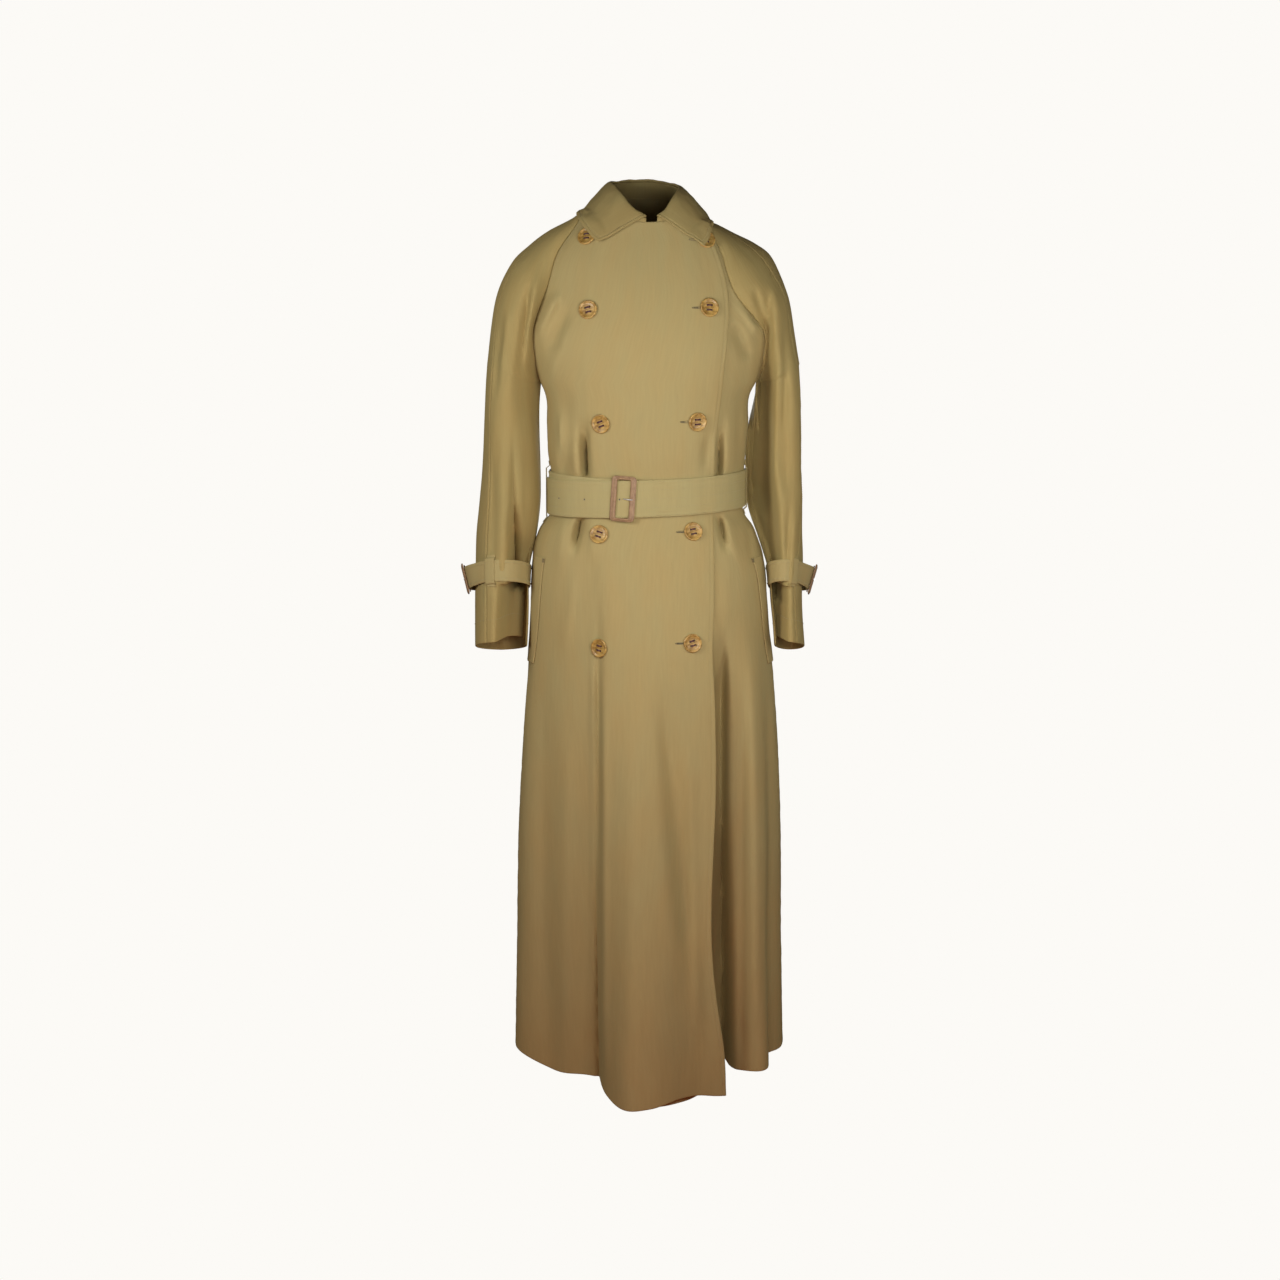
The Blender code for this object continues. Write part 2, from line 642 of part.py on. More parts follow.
def make_sleeve(side, front_panel, back_panel):
    """A sleeve's middle surface and normals, from the front seam round the outside to the back seam.

    The walls of a sleeve and a body panel share their normals along the seam. Where the crease between them
    is too tight for that, at the underarm, the sleeve's edge lies beside the panel instead.
    """
    raglan, low = (RAGLAN_LEFT, SLEEVE_LEFT) if side > 0 else (RAGLAN, SLEEVE_RIGHT)
    seam = -1 if side > 0 else 0
    back_seam = 0 if side > 0 else -1
    upper = slice(0, UNDERARM_ROW + 1)
    front, back = front_panel[0][upper, seam], back_panel[0][upper, back_seam]
    rings = closed_rows(side, low, SLEEVE_DROPS, SLEEVE_COLUMNS)
    points = np.concatenate([open_rows(side, front, back, raglan, SLEEVE_COLUMNS), rings])
    normals = grid_normals(points) * side
    normals[UNDERARM_ROW:] = grid_normals(points[UNDERARM_ROW:], closed=True) * side
    for column, panel_normals, panel_column in ((0, front_panel[1], seam), (-1, back_panel[1], back_seam)):
        for row in range(UNDERARM_ROW + 1):
            own, other = normals[row, column], panel_normals[row, panel_column]
            if own @ other < CREASE_TOO_TIGHT:
                points[row, column] -= own * (CLOTH + SEAM_GAP)
            else:
                normals[row, column] = panel_normals[row, panel_column] = unit(own + other)
    return points, normals


def ring_point(sleeve, row, turn):
    """The middle surface and normal of a sleeve at a row of its own and a turn in degrees, on its facets."""
    points, normals = sleeve
    columns = points.shape[1] - 1
    place = ((turn + 90) % 360) / 360 * columns
    column = np.floor(place).astype(int)
    share = (place - column)[..., None]
    level = np.floor(row).astype(int)
    lift = (row - level)[..., None]

    def between(grid):
        upper = grid[level, column] * (1 - share) + grid[level, column + 1] * share
        lower = grid[level + 1, column] * (1 - share) + grid[level + 1, column + 1] * share
        return upper * (1 - lift) + lower * lift

    return between(points), unit(between(normals))


# Collar


def make_neck(panels, sleeves):
    """The neck seam as a ring: its angle round the neck, rising, and its points, normals and upward runs."""
    parts = []
    for points, normals in (*panels.values(), *sleeves.values()):
        parts.append(np.hstack([points[0], normals[0], unit(points[0] - points[1])]))
    own_right, own_left, back, right, left = parts
    own_right, own_left = own_right[own_right[:, 0] < -0.004], own_left[own_left[:, 0] > 0.004]
    ring = np.concatenate([back, right[1:-1], own_right, own_left, left[1:-1]])
    angle = np.degrees(np.arctan2(ring[:, 0], -ring[:, 1])) % 360
    order = np.argsort(angle)
    return angle[order] - 360, ring[order]


def make_collar(tree, buttons, cloth):
    """The collar's fall, rolled over and resting on the coat. Returns the roll line, for the stand."""
    turns = np.linspace(0, 1, COLLAR_COLUMNS + 1)
    roll = np.stack([read(COLLAR, "turn", "roll_" + axis, turns) for axis in "xyz"], -1)
    edge = np.stack([read(COLLAR, "turn", "edge_" + axis, turns) for axis in "xyz"], -1)
    out = unit(roll * (1, 1, 0))
    up = np.array((0, 0, 1.0))
    roll_top = roll + up * COLLAR_ROLL
    first = roll_top + out * 0.007 + up * 0.003
    second = edge + (roll - edge) / 3 + out * 0.003 + up * 0.0025
    rows = []
    for share in COLLAR_SHARES:
        rest = 1 - share
        near_roll = rest**3 * roll_top + 3 * rest**2 * share * first
        near_edge = 3 * rest * share**2 * second + share**3 * edge
        rows.append(near_roll + near_edge)
    points = np.array(rows)
    for row in range(2, len(points)):
        for column, point in enumerate(points[row]):
            over_button = min(np.linalg.norm((point - button)[[0, 2]]) for button in buttons)
            lift = COLLAR_LIFT * (1 - eased((over_button - 1.5 * BUTTON_DIAMETER / 2) / BUTTON_DIAMETER * 2))
            points[row, column] = raised(tree, point, (CLOTH + COLLAR_CLOTH) / 2 + COLLAR_REST + lift)
    normals = -grid_normals(points)
    wall("collar", points, normals, COLLAR_CLOTH, cloth)
    return turns, roll, out


def make_collar_stand(neck, collar, cloth):
    """The band from the neck seam up to the collar's roll line."""
    turns, roll, out = collar
    angle = np.degrees(np.arctan2(roll[:, 0], -roll[:, 1]))
    angle = np.where(turns <= 0.5, -(-angle % 360), angle % 360 - 360)
    ring = np.stack([np.interp(angle, neck[0], column) for column in neck[1].T], -1)
    bottom = ring[:, :3] + ring[:, 6:] * (SEAM_GAP + FACET_SAG)
    top = roll - np.array((0, 0, LAYER_GAP))
    middle = (bottom + top) / 2 + out * 0.0015
    band = np.array([bottom, middle, top])
    band_normals = grid_normals(band)
    band_normals[0] = ring[:, 3:6]
    wall("collar_stand", band, band_normals, STRAP_CLOTH, cloth)


# Belt


def belt_layer(run):
    """How far the belt's middle lies out from the body."""
    angle = (BUCKLE_ANGLE - run + 180) % 360 - 180
    over_lap = 1 - eased((np.abs(angle) - 50) / 25)
    first = (CLOTH + BELT_CLOTH) / 2 + LAYER_GAP + TIGHT_FACET_SAG + (LAP_OFFSET + FACET_SAG) * over_lap
    return first + eased((run - BELT_LAP_RUN) / 16) * (BELT_CLOTH + LAYER_GAP)


def belt_point(run, height):
    """A point of the belt's middle surface: how far round from the buckle, and how far above its middle."""
    angle = BUCKLE_ANGLE - run
    drop = read(BELT, "run", "drop", run)
    out = unit(body_normal(angle, np.full_like(drop, WAIST_DROP)) * (1, 1, 0))
    waist = body(angle, np.full_like(drop, WAIST_DROP))
    reaches = [((body(angle, np.full_like(drop, level)) - waist) * out).sum(-1) for level in WAIST_BAND]
    point = waist + out * (np.max(reaches, 0) + belt_layer(run))[..., None]
    point[..., 2] = height - drop
    return point, out


def make_belt(cloth):
    first_run, step = 2.3, 6.5
    once, again = np.arange(first_run, BELT_LAP_RUN, step), np.arange(BELT_LAP_RUN + step / 2, BELT_RUN, step)
    runs = np.concatenate([once, again, [BELT_RUN]])
    heights = np.array((0.5, 0.0, -0.5)) * BELT_WIDTH
    points, normals = belt_point(np.broadcast_to(runs, (3, len(runs))), heights[:, None])
    # The tail comes to a blunt point.
    points[0, -1, 2] -= TAIL_TAPER
    points[2, -1, 2] += TAIL_TAPER
    wall("belt", points, normals, BELT_CLOTH, cloth)


def make_belt_loops(tree, cloth):
    """A strip over the belt at each side seam, sewn down above and below it."""
    half_angle = math.degrees(LOOP_WIDTH / 2 / 0.11)
    for side, whole_turns, shift, reach in zip(*LOOPS.values()):
        name = "belt_loop_left" if side > 0 else "belt_loop_right"
        run = (BUCKLE_ANGLE - side * SIDE_ANGLE) % 360 + 360 * whole_turns
        runs = run + np.array((-1, 0, 1)) * half_angle
        middle = read(BELT, "run", "drop", run)
        over = (BELT_CLOTH + LOOP_CLOTH) / 2 + LAYER_GAP
        rows, row_normals = [], []
        ends = ((reach + LOOP_END, 0), (reach + LOOP_BEND, 0), (reach, 1))
        for height, on_belt in (*ends, (0, 1), *((-height, on_belt) for height, on_belt in ends[::-1])):
            height = height + shift
            point, out = belt_point(runs, np.full(3, height))
            if on_belt:
                point = point + out * over
            else:
                drops = np.full(3, middle - height)
                normal = body_normal(BUCKLE_ANGLE - runs, drops)
                cloth_point = body(BUCKLE_ANGLE - runs, drops)
                touch = np.array([nearest(tree, place) for place in cloth_point])
                point = touch + normal * ((CLOTH + LOOP_CLOTH) / 2 + LAYER_GAP + FACET_SAG)
            rows.append(point)
            row_normals.append(out)
        wall(name, np.array(rows), np.array(row_normals), LOOP_CLOTH, cloth)


# Buckles


def rounded_outline(half_width, half_height, radius, corner_steps=4):
    """Points round a rounded rectangle."""
    points = []
    for quarter, (sx, sy) in enumerate(((1, 1), (-1, 1), (-1, -1), (1, -1))):
        for step in range(corner_steps + 1):
            turn = math.radians(90 * (quarter + step / corner_steps))
            x = sx * (half_width - radius) + radius * math.cos(turn)
            y = sy * (half_height - radius) + radius * math.sin(turn)
            points.append((x, y))
    return np.array(points)


def place(points, origin, along, up, out):
    return origin + points[:, 0:1] * along + points[:, 1:2] * up + points[:, 2:3] * out


def make_buckle(name, frame, strap_cloth, sizes, leather, metal):
    """A frame with a bar across it, on which the strap's end sits, and its prong.

    frame is the origin and the ways along, up and out.
    """
    half_width, half_height, side, rail, thickness, radius = sizes.values()
    top_of_strap = strap_cloth * 1.5 + LAYER_GAP
    level = top_of_strap + LAYER_GAP + thickness / 2
    buckle = make_frame(name, frame, sizes, level, leather)

    bar = strap_cloth / 2
    reach = half_height - rail / 2 + BUCKLE_POST / 2
    profile = (
        (-reach, level),
        (-reach, -bar),
        (reach, -bar),
        (reach, level),
        (reach - BUCKLE_POST, level),
        (reach - BUCKLE_POST, bar),
        (BUCKLE_POST - reach, bar),
        (BUCKLE_POST - reach, level),
    )
    half_bar = BUCKLE_POST / 2
    corners = [(x, y, z) for x in (-half_bar, half_bar) for y, z in profile]
    size = len(profile)
    sides = [(i, (i + 1) % size, (i + 1) % size + size, i + size) for i in range(size)]
    caps = [tuple(range(size))[::-1], tuple(range(size, 2 * size))]
    staple = new_object(name + ".bar", place(np.array(corners), *frame), sides + caps, leather)
    staple.hide_render = True
    staple.display_type = "WIRE"
    join = buckle.modifiers.new("bar", "BOOLEAN")
    join.operation = "UNION"
    join.object = staple

    wire = min(PRONG_RADIUS, thickness / 4)
    start = top_of_strap + wire + LAYER_GAP
    rest = level + thickness / 2 + wire + LAYER_GAP
    inside, tip = (half_width - side) * 0.9, half_width - side * 0.45
    route = np.array([(BUCKLE_POST, 0, start), (inside, 0, rest), (tip, 0, rest)])
    make_prong(name.replace("buckle", "prong"), place(route, *frame), wire, metal)


def make_frame(name, frame, sizes, level, leather):
    """A buckle's frame: a rounded section carried round a rounded rectangle."""
    half_width, half_height, side, rail, thickness, radius = sizes.values()
    outer = rounded_outline(half_width, half_height, radius)
    inner = rounded_outline(half_width - side, half_height - rail, radius * 0.45)
    # The section: an octagon that is flatter than a circle's, from -1 to 1 both ways.
    turns = np.radians(np.arange(8) * 45 + 22.5)
    section = signed_power(np.stack([np.cos(turns), np.sin(turns)], -1) / np.cos(turns[0]), 0.8)
    points = []
    for outside, inside in zip(outer, inner):
        middle, reach = (outside + inside) / 2, (outside - inside) / 2
        for across, height in section:
            points.append((*(middle + reach * across), level + height * thickness / 2))
    count, ring = len(outer), len(section)
    faces = []
    for i in range(count):
        here, there = i * ring, (i + 1) % count * ring
        for j in range(ring):
            following = (j + 1) % ring
            faces.append((there + j, there + following, here + following, here + j))
    return new_object(name, place(np.array(points), *frame), faces, leather)


def make_prong(name, route, wire, metal):
    curve = bpy.data.curves.new(name, "CURVE")
    curve.dimensions = "3D"
    curve.bevel_depth = wire
    curve.bevel_resolution = 1
    curve.use_fill_caps = True
    spline = curve.splines.new("POLY")
    spline.points.add(len(route) - 1)
    for control, point in zip(spline.points, route):
        control.co = (*point, 1)
    curve.materials.append(metal)
    bpy.context.scene.collection.objects.link(bpy.data.objects.new(name, curve))


def make_belt_buckle(leather, metal):
    origin, out = belt_point(np.float64(0), np.float64(-0.0007))
    up = np.array((0, 0, 1.0))
    along = unit(np.cross(up, out))
    tilt = math.radians(BUCKLE_TILT)
    along, up = along * math.cos(tilt) + up * math.sin(tilt), up * math.cos(tilt) - along * math.sin(tilt)
    make_buckle("belt_buckle", (origin, along, up, out), BELT_CLOTH, BELT_BUCKLE, leather, metal)


# Cuff straps


def strap_point(sleeve, row, run, height, thickness):
    """A point of a cuff strap's middle surface. run starts at the buckle, on the sleeve's outer line.

    height is in the strap's widths from its middle, and thickness is a further way out.
    """
    level = row + 0.5 - height
    touch, out = ring_point(sleeve, np.asarray(level, float), 90 + run)
    layer = eased((run - STRAP_LAP_RUN) / 25)
    near = np.abs((run + 180) % 360 - 180) / STRAP_FLARE_TURN
    flare = np.exp(-(near**2))
    offset = (CLOTH + STRAP_CLOTH) / 2 + LAYER_GAP + FACET_SAG + layer * (STRAP_CLOTH + LAYER_GAP)
    offset = offset + thickness + flare * (STRAP_FLARE + STRAP_FLARE_GROWTH * height)
    point = touch + out * offset[..., None]
    point[..., 2] -= STRAP_SAG * flare
    return point, out


def make_cuff(side, sleeve, cloth, leather, metal):
    word = "left" if side > 0 else "right"
    row = UNDERARM_ROW + 1 + SLEEVE_DROPS.index(STRAP_TOP_DROP)
    # The strap bends where the sleeve's facets do, and more often near the buckle.
    facet = 360 / (2 * SLEEVE_COLUMNS)
    near_buckle = np.array((0.25, 13.75, 14.25))
    runs = np.sort(np.concatenate([near_buckle, np.arange(1, 33) / 2])) * facet
    heights = np.array((0.5, 0.0, -0.5))[:, None]
    points, _ = strap_point(sleeve, row, np.broadcast_to(runs, (3, len(runs))), heights, 0)
    normals = grid_normals(points)
    if (normals[1, 0] @ (side, 0, 0)) < 0:
        normals = -normals
    wall("cuff_strap_" + word, points, normals, STRAP_CLOTH, cloth)

    ends, _ = strap_point(sleeve, row, np.zeros((3, 1)), heights, 0)
    before, _ = strap_point(sleeve, row, np.array([[-6.0], [6.0]]), np.zeros((2, 1)), 0)
    along = unit(before[0, 0] - before[1, 0])
    up = ends[0, 0] - ends[2, 0]
    up = unit(up - along * (up @ along))
    out = np.cross(along, up)
    if out @ (side, 0, 0) < 0:
        out = -out
    make_buckle("cuff_buckle_" + word, (ends[1, 0], along, up, out), STRAP_CLOTH, CUFF_BUCKLE, leather, metal)

    turns = facet + np.array((-KEEPER_TURN, 0.0, KEEPER_TURN))
    over = (STRAP_CLOTH + LOOP_CLOTH) / 2 + LAYER_GAP
    rows, row_normals = [], []
    for height, on_strap in ((0.72, 0), (0.62, 0), (0.55, 1), (0, 1), (-0.55, 1), (-0.62, 0), (-0.72, 0)):
        touch, normal = ring_point(sleeve, np.full(3, row + 0.5 - height), turns)
        point = touch + normal * ((CLOTH + LOOP_CLOTH) / 2 + LAYER_GAP)
        if on_strap:
            point = strap_point(sleeve, row, turns + 270, height, over)[0]
        rows.append(point)
        row_normals.append(normal)
    wall("cuff_keeper_" + word, np.array(rows), np.array(row_normals), LOOP_CLOTH, cloth)


# Pockets and buttons


def make_welt(side, tree, cloth):
    """A slanted welt: its front edge runs down and back from below the waist."""
    layer = "under" if side > 0 else "top"
    rows, row_normals = [], []
    for drop in WELT_DROPS:
        share = (drop - WELT_DROPS[0]) / (WELT_DROPS[-1] - WELT_DROPS[0])
        angles = side * (WELT_ANGLE + WELT_SLANT * share + np.linspace(0, WELT_SPAN, 5))
        drops = np.full(5, drop)
        normals = body_normal(angles, drops, layer)
        touch = np.array([nearest(tree, point) for point in body(angles, drops, layer)])
        rows.append(touch + normals * ((CLOTH + STRAP_CLOTH) / 2 + LAYER_GAP + TIGHT_FACET_SAG))
        row_normals.append(normals)
    name = "pocket_welt_left" if side > 0 else "pocket_welt_right"
    wall(name, np.array(rows), np.array(row_normals), STRAP_CLOTH, cloth)


def button_seats(panel_points):
    """Each button's name, and the point and normal of the front that it is sewn on."""
    tree = surface_tree([panel_points])
    seats = []
    for number, row in enumerate(zip(*BUTTONS.values()), 1):
        for word, x, drop in (("right", row[0], row[2]), ("left", row[1], row[3])):
            turns = np.arange(8) * math.pi / 4
            around = np.stack([np.cos(turns), np.zeros(8), np.sin(turns)], -1) * BUTTON_DIAMETER / 2
            middle = np.array((x, -1, -drop))
            starts = (middle, *(middle + around))
            found = [tree.ray_cast(Vector(start), Vector((0, 1, 0)))[0] for start in starts]
            seat, rim = np.array(found[0]), np.array([place for place in found[1:] if place])
            normal = -unit(np.cross(rim - seat, np.roll(rim, -1, 0) - seat).sum(0))
            normal = normal * -np.sign(normal[1])
            highest = max(((rim - seat) @ normal).max(), 0)
            seats.append((f"button_{number}_{word}", seat + normal * highest, normal))
    return seats


def make_button(name, seat, normal, horn):
    """A turned button with a raised rim and a shallow dish."""
    # Each ring's share of the radius and of the thickness, from the back's edge over the rim to the dish.
    profile = ((0.92, 0.0), (1.0, 0.55), (0.90, 1.0), (0.76, 0.85))
    dish = 0.72
    sides = BUTTON_SIDES
    radius, base = BUTTON_DIAMETER / 2, CLOTH / 2 + LAYER_GAP + TIGHT_FACET_SAG
    points = [(0, 0, base)]
    for wide, high in profile:
        for turn in np.arange(sides) * 2 * math.pi / sides:
            reach = wide * radius
            points.append((reach * math.cos(turn), reach * math.sin(turn), base + high * BUTTON_THICKNESS))
    points.append((0, 0, base + dish * BUTTON_THICKNESS))
    last = len(points) - 1
    faces = [(0, 1 + (i + 1) % sides, 1 + i) for i in range(sides)]
    for ring in range(len(profile) - 1):
        low, high = 1 + ring * sides, 1 + (ring + 1) * sides
        faces += [(low + i, low + (i + 1) % sides, high + (i + 1) % sides, high + i) for i in range(sides)]
    top = 1 + (len(profile) - 1) * sides
    faces += [(top + i, top + (i + 1) % sides, last) for i in range(sides)]
    turned = Vector(normal).to_track_quat("Z", "Y").to_matrix()
    placed = [np.array(turned @ Vector(point)) + seat for point in points]
    new_object(name, placed, faces, horn)


def material(name, colour, roughness, metallic=0.0):
    made = bpy.data.materials.new(name)
    made.use_nodes = True
    shader = made.node_tree.nodes["Principled BSDF"]
    shader.inputs["Base Color"].default_value = (*colour, 1)
    shader.inputs["Roughness"].default_value = roughness
    shader.inputs["Metallic"].default_value = metallic
    return made


def main():
    for piece in list(bpy.data.objects):
        bpy.data.objects.remove(piece, do_unlink=True)
    cloth = material("gabardine", (0.38, 0.30, 0.15), 0.85)
    horn = material("horn", (0.50, 0.28, 0.08), 0.45)
    leather = material("leather", (0.30, 0.16, 0.09), 0.6)
    metal = material("metal", (0.7, 0.7, 0.7), 0.3, 1.0)

    panels = make_panels()
    sleeves = {
        -1: make_sleeve(-1, panels["front_right"], panels["back"]),
        1: make_sleeve(1, panels["front_left"], panels["back"]),
    }
    wall("front_right", *panels["front_right"], CLOTH, cloth, edges=["first_column"])
    wall("front_left", *panels["front_left"], CLOTH, cloth, edges=["last_column"])
    wall("back", *panels["back"], CLOTH, cloth, edges=["first_column", "last_column"])
    for side, word in ((-1, "right"), (1, "left")):
        points, normals = sleeves[side]
        edges = ["first_column", "last_column"]
        front, back = np.s_[:, : OVERARM_COLUMN + 1], np.s_[:, OVERARM_COLUMN:]
        wall(f"sleeve_{word}_front", points[front], normals[front], CLOTH, cloth, edges)
        wall(f"sleeve_{word}_back", points[back], normals[back], CLOTH, cloth, edges)
        make_cuff(side, sleeves[side], cloth, leather, metal)

    grids = [points for points, _ in panels.values()] + [points for points, _ in sleeves.values()]
    tree = surface_tree(grids)
    seats = button_seats(panels["front_right"][0])
    neck = make_neck(panels, sleeves)
    collar = make_collar(tree, [seat for _, seat, _ in seats[:2]], cloth)
    make_collar_stand(neck, collar, cloth)
    make_belt(cloth)
    make_belt_loops(tree, cloth)
    make_belt_buckle(leather, metal)
    for side in (-1, 1):
        make_welt(side, surface_tree([panels["front_left" if side > 0 else "front_right"][0]]), cloth)
    for name, seat, normal in seats:
        make_button(name, seat, normal, horn)


main()
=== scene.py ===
"""The looks of a double-breasted maxi trench coat: closed, belted and filled out with no wearer.

Metres, +Z up. The front faces -Y, the wearer's left is +X, and the origin is the middle of the neck's base.
Each piece of cloth is a thin shell on the same surface as its solid, with finer creases, seams and stitches.
An angle runs round the body from the centre front, 90 at the wearer's left side and 180 at the centre back.
A drop is the distance down from the neck's base. A side is +1 on the wearer's left and -1 on the right.
"""

import math

import bpy
import numpy as np
from mathutils import Matrix, Vector, noise
from mathutils.bvhtree import BVHTree


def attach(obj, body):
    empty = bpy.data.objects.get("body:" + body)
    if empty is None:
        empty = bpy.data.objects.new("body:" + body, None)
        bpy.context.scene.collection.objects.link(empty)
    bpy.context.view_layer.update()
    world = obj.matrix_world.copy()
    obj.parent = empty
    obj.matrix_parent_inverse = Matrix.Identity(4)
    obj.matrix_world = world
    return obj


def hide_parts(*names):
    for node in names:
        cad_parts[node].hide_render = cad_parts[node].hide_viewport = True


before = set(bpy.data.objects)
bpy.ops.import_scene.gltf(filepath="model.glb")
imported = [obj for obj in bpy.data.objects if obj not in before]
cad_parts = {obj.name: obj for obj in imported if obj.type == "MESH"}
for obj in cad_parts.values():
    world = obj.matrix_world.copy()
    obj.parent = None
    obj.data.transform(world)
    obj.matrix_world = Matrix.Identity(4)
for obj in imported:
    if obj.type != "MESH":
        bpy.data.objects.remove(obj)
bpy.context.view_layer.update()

CLOTH = 0.0018
COLLAR_CLOTH = 0.0026
BELT_CLOTH = 0.0024
STRAP_CLOTH = 0.0018
LOOP_CLOTH = 0.0012
LAYER_GAP = 0.0004
LAP_OFFSET = 0.0012
LAP_SPREAD = 0.0014
LAP_SPREAD_DROPS = (0.6, 1.2)

UNDERARM_DROP = 0.235
SLEEVE_TOP_DROP = 0.220
SLEEVE_HEM_DROP = 0.620
HEM_DROP = 1.27
SIDE_ANGLE = 90.0
CENTRE_NECK_DROP = 0.009
BACK_NECK_DROP = -0.030
BACK_NECK_DIP = 0.004
OVERARM_SHARE = 5 / 7

BELT_WIDTH = 0.053
BELT_RUN = 446.0
BELT_LAP_RUN = 336.0
BELT_START = 2.3
BELT_LENGTH = 0.95
TAIL_TAPER = 0.010
EYELET_RUNS = (384.0, 406.0, 362.0)
BUCKLE_ANGLE = -12.5
BUCKLE_TILT = -4.0
LOOP_WIDTH = 0.010
LOOP_ROWS = 37

STRAP_WIDTH = 0.031
STRAP_TOP_DROP = 0.504
STRAP_LENGTH = 0.36
STRAP_RUNS = (6.0, 411.0)
STRAP_LAP_RUN = 325.0
STRAP_FLARE = 0.0085
STRAP_FLARE_GROWTH = 0.0085
STRAP_FLARE_TURN = 34.0
STRAP_SAG = 0.004
KEEPER_TURN = 9.0
KEEPER_MIDDLE = 25.7

WELT_DROPS = (0.488, 0.645)
WELT_ANGLE = 62.0
WELT_SLANT = 12.0
WELT_SPAN = 14.0
WELT_WIDTH = 0.045
TACK_STEPS = np.arange(8) * 0.0007
TACK_REACH = (-0.002, 0.0045)
TACK_STITCHES = dict(radius=0.0005, stitch=0.0058, pitch=0.0006)

BUTTON_RADIUS = 0.0135
BUTTON_THICKNESS = 0.0032
BUTTONHOLE_LENGTH = 0.0165
BUTTONHOLE_HALF_WIDTH = 0.0011
BUTTONHOLE_SHIFT = -0.0158

# Distances in from an edge where the shells have extra columns. The edge rounds off over the first ones, and
# the stitches run along the one numbered STITCH_COLUMN. A sleeve's hem is stitched along HEM_STITCH_ROW.
EDGE_STEPS = np.array((0.0, 0.0005, 0.0013, 0.0026, 0.0042, 0.0058, 0.0074, 0.0100, 0.0140))
STITCH_COLUMN = 5
HEM_STITCH_ROW = -14
CELL = 0.0046
SLEEVE_CELL = 0.0032

WORDS = {-1: "right", 1: "left"}
UP = np.array((0.0, 0.0, 1.0))


def table(columns, *rows):
    """A table's columns as arrays, by name."""
    return dict(zip(columns.split(), np.array(rows, float).T))


BODY = table(
    "drop centre half front back squareness",
    (-0.030, -0.002, 0.072, 0.050, 0.063, 2.2),
    (0.000, -0.006, 0.104, 0.070, 0.081, 2.2),
    (0.020, -0.005, 0.126, 0.077, 0.092, 2.25),
    (0.050, -0.003, 0.154, 0.088, 0.105, 2.3),
    (0.085, -0.001, 0.169, 0.100, 0.115, 2.3),
    (0.120, 0.000, 0.1765, 0.110, 0.121, 2.3),
    (0.165, 0.000, 0.178, 0.119, 0.124, 2.3),
    (0.200, 0.000, 0.168, 0.122, 0.123, 2.3),
    (0.235, -0.001, 0.156, 0.121, 0.121, 2.3),
    (0.250, -0.002, 0.1485, 0.120, 0.120, 2.3),
    (0.300, -0.002, 0.1455, 0.114, 0.114, 2.3),
    (0.340, -0.003, 0.1425, 0.109, 0.108, 2.3),
    (0.365, -0.002, 0.1395, 0.1035, 0.1025, 2.25),
    (0.400, -0.001, 0.1385, 0.1025, 0.1015, 2.2),
    (0.426, -0.002, 0.1395, 0.1030, 0.1022, 2.2),
    (0.447, -0.003, 0.1545, 0.108, 0.109, 2.2),
    (0.465, -0.003, 0.1620, 0.113, 0.114, 2.2),
    (0.500, -0.001, 0.1695, 0.119, 0.121, 2.2),
    (0.550, 0.000, 0.1725, 0.126, 0.128, 2.2),
    (0.600, 0.001, 0.1745, 0.130, 0.133, 2.2),
    (0.640, 0.002, 0.1780, 0.132, 0.137, 2.2),
    (0.760, 0.002, 0.1875, 0.136, 0.146, 2.2),
    (0.900, 0.001, 0.1945, 0.141, 0.155, 2.2),
    (1.070, 0.000, 0.1975, 0.146, 0.163, 2.2),
    (1.270, 0.000, 0.2025, 0.150, 0.170, 2.2),
)

RAGLAN = table(
    "share front back outer_x outer_y outer_drop wrap",
    (0.00, 34, 41, 0.0720, 0.000, -0.0180, -20),
    (0.04, 55, 45, 0.0900, 0.000, -0.0090, -18),
    (0.12, 54, 48, 0.1130, 0.001, 0.0030, -10),
    (0.22, 53, 50, 0.1420, 0.002, 0.0185, 0),
    (0.35, 53, 51, 0.1710, 0.003, 0.0390, 14),
    (0.48, 55, 54, 0.1940, 0.004, 0.0595, 30),
    (0.61, 61, 60, 0.2100, 0.006, 0.0860, 40),
    (0.74, 68, 66, 0.2210, 0.008, 0.1180, 50),
    (0.87, 77, 74, 0.2285, 0.010, 0.1580, 62),
    (1.00, 90, 90, 0.2335, 0.012, 0.2050, 90),
)
RAGLAN_LEFT = dict(
    RAGLAN,
    front=np.array((34, 43, 43, 40, 39, 42, 52, 67, 77, 90), float),
    back=np.array((39, 41, 43, 46, 50, 54, 60, 66, 74, 90), float),
    outer_x=np.array((0.060, 0.076, 0.101, 0.130, 0.155, 0.1735, 0.1880, 0.2005, 0.2090, 0.2145)),
    outer_y=np.array((0.0, 0.0, 0.001, 0.002, 0.003, 0.005, 0.008, 0.011, 0.014, 0.016)),
    outer_drop=np.array((-0.0170, 0.0000, 0.0125, 0.0270, 0.0395, 0.0535, 0.0780, 0.1130, 0.1600, 0.2080)),
    wrap=np.array((-20, -18, -10, -2, 6, 17, 31, 47, 62, 90), float),
)

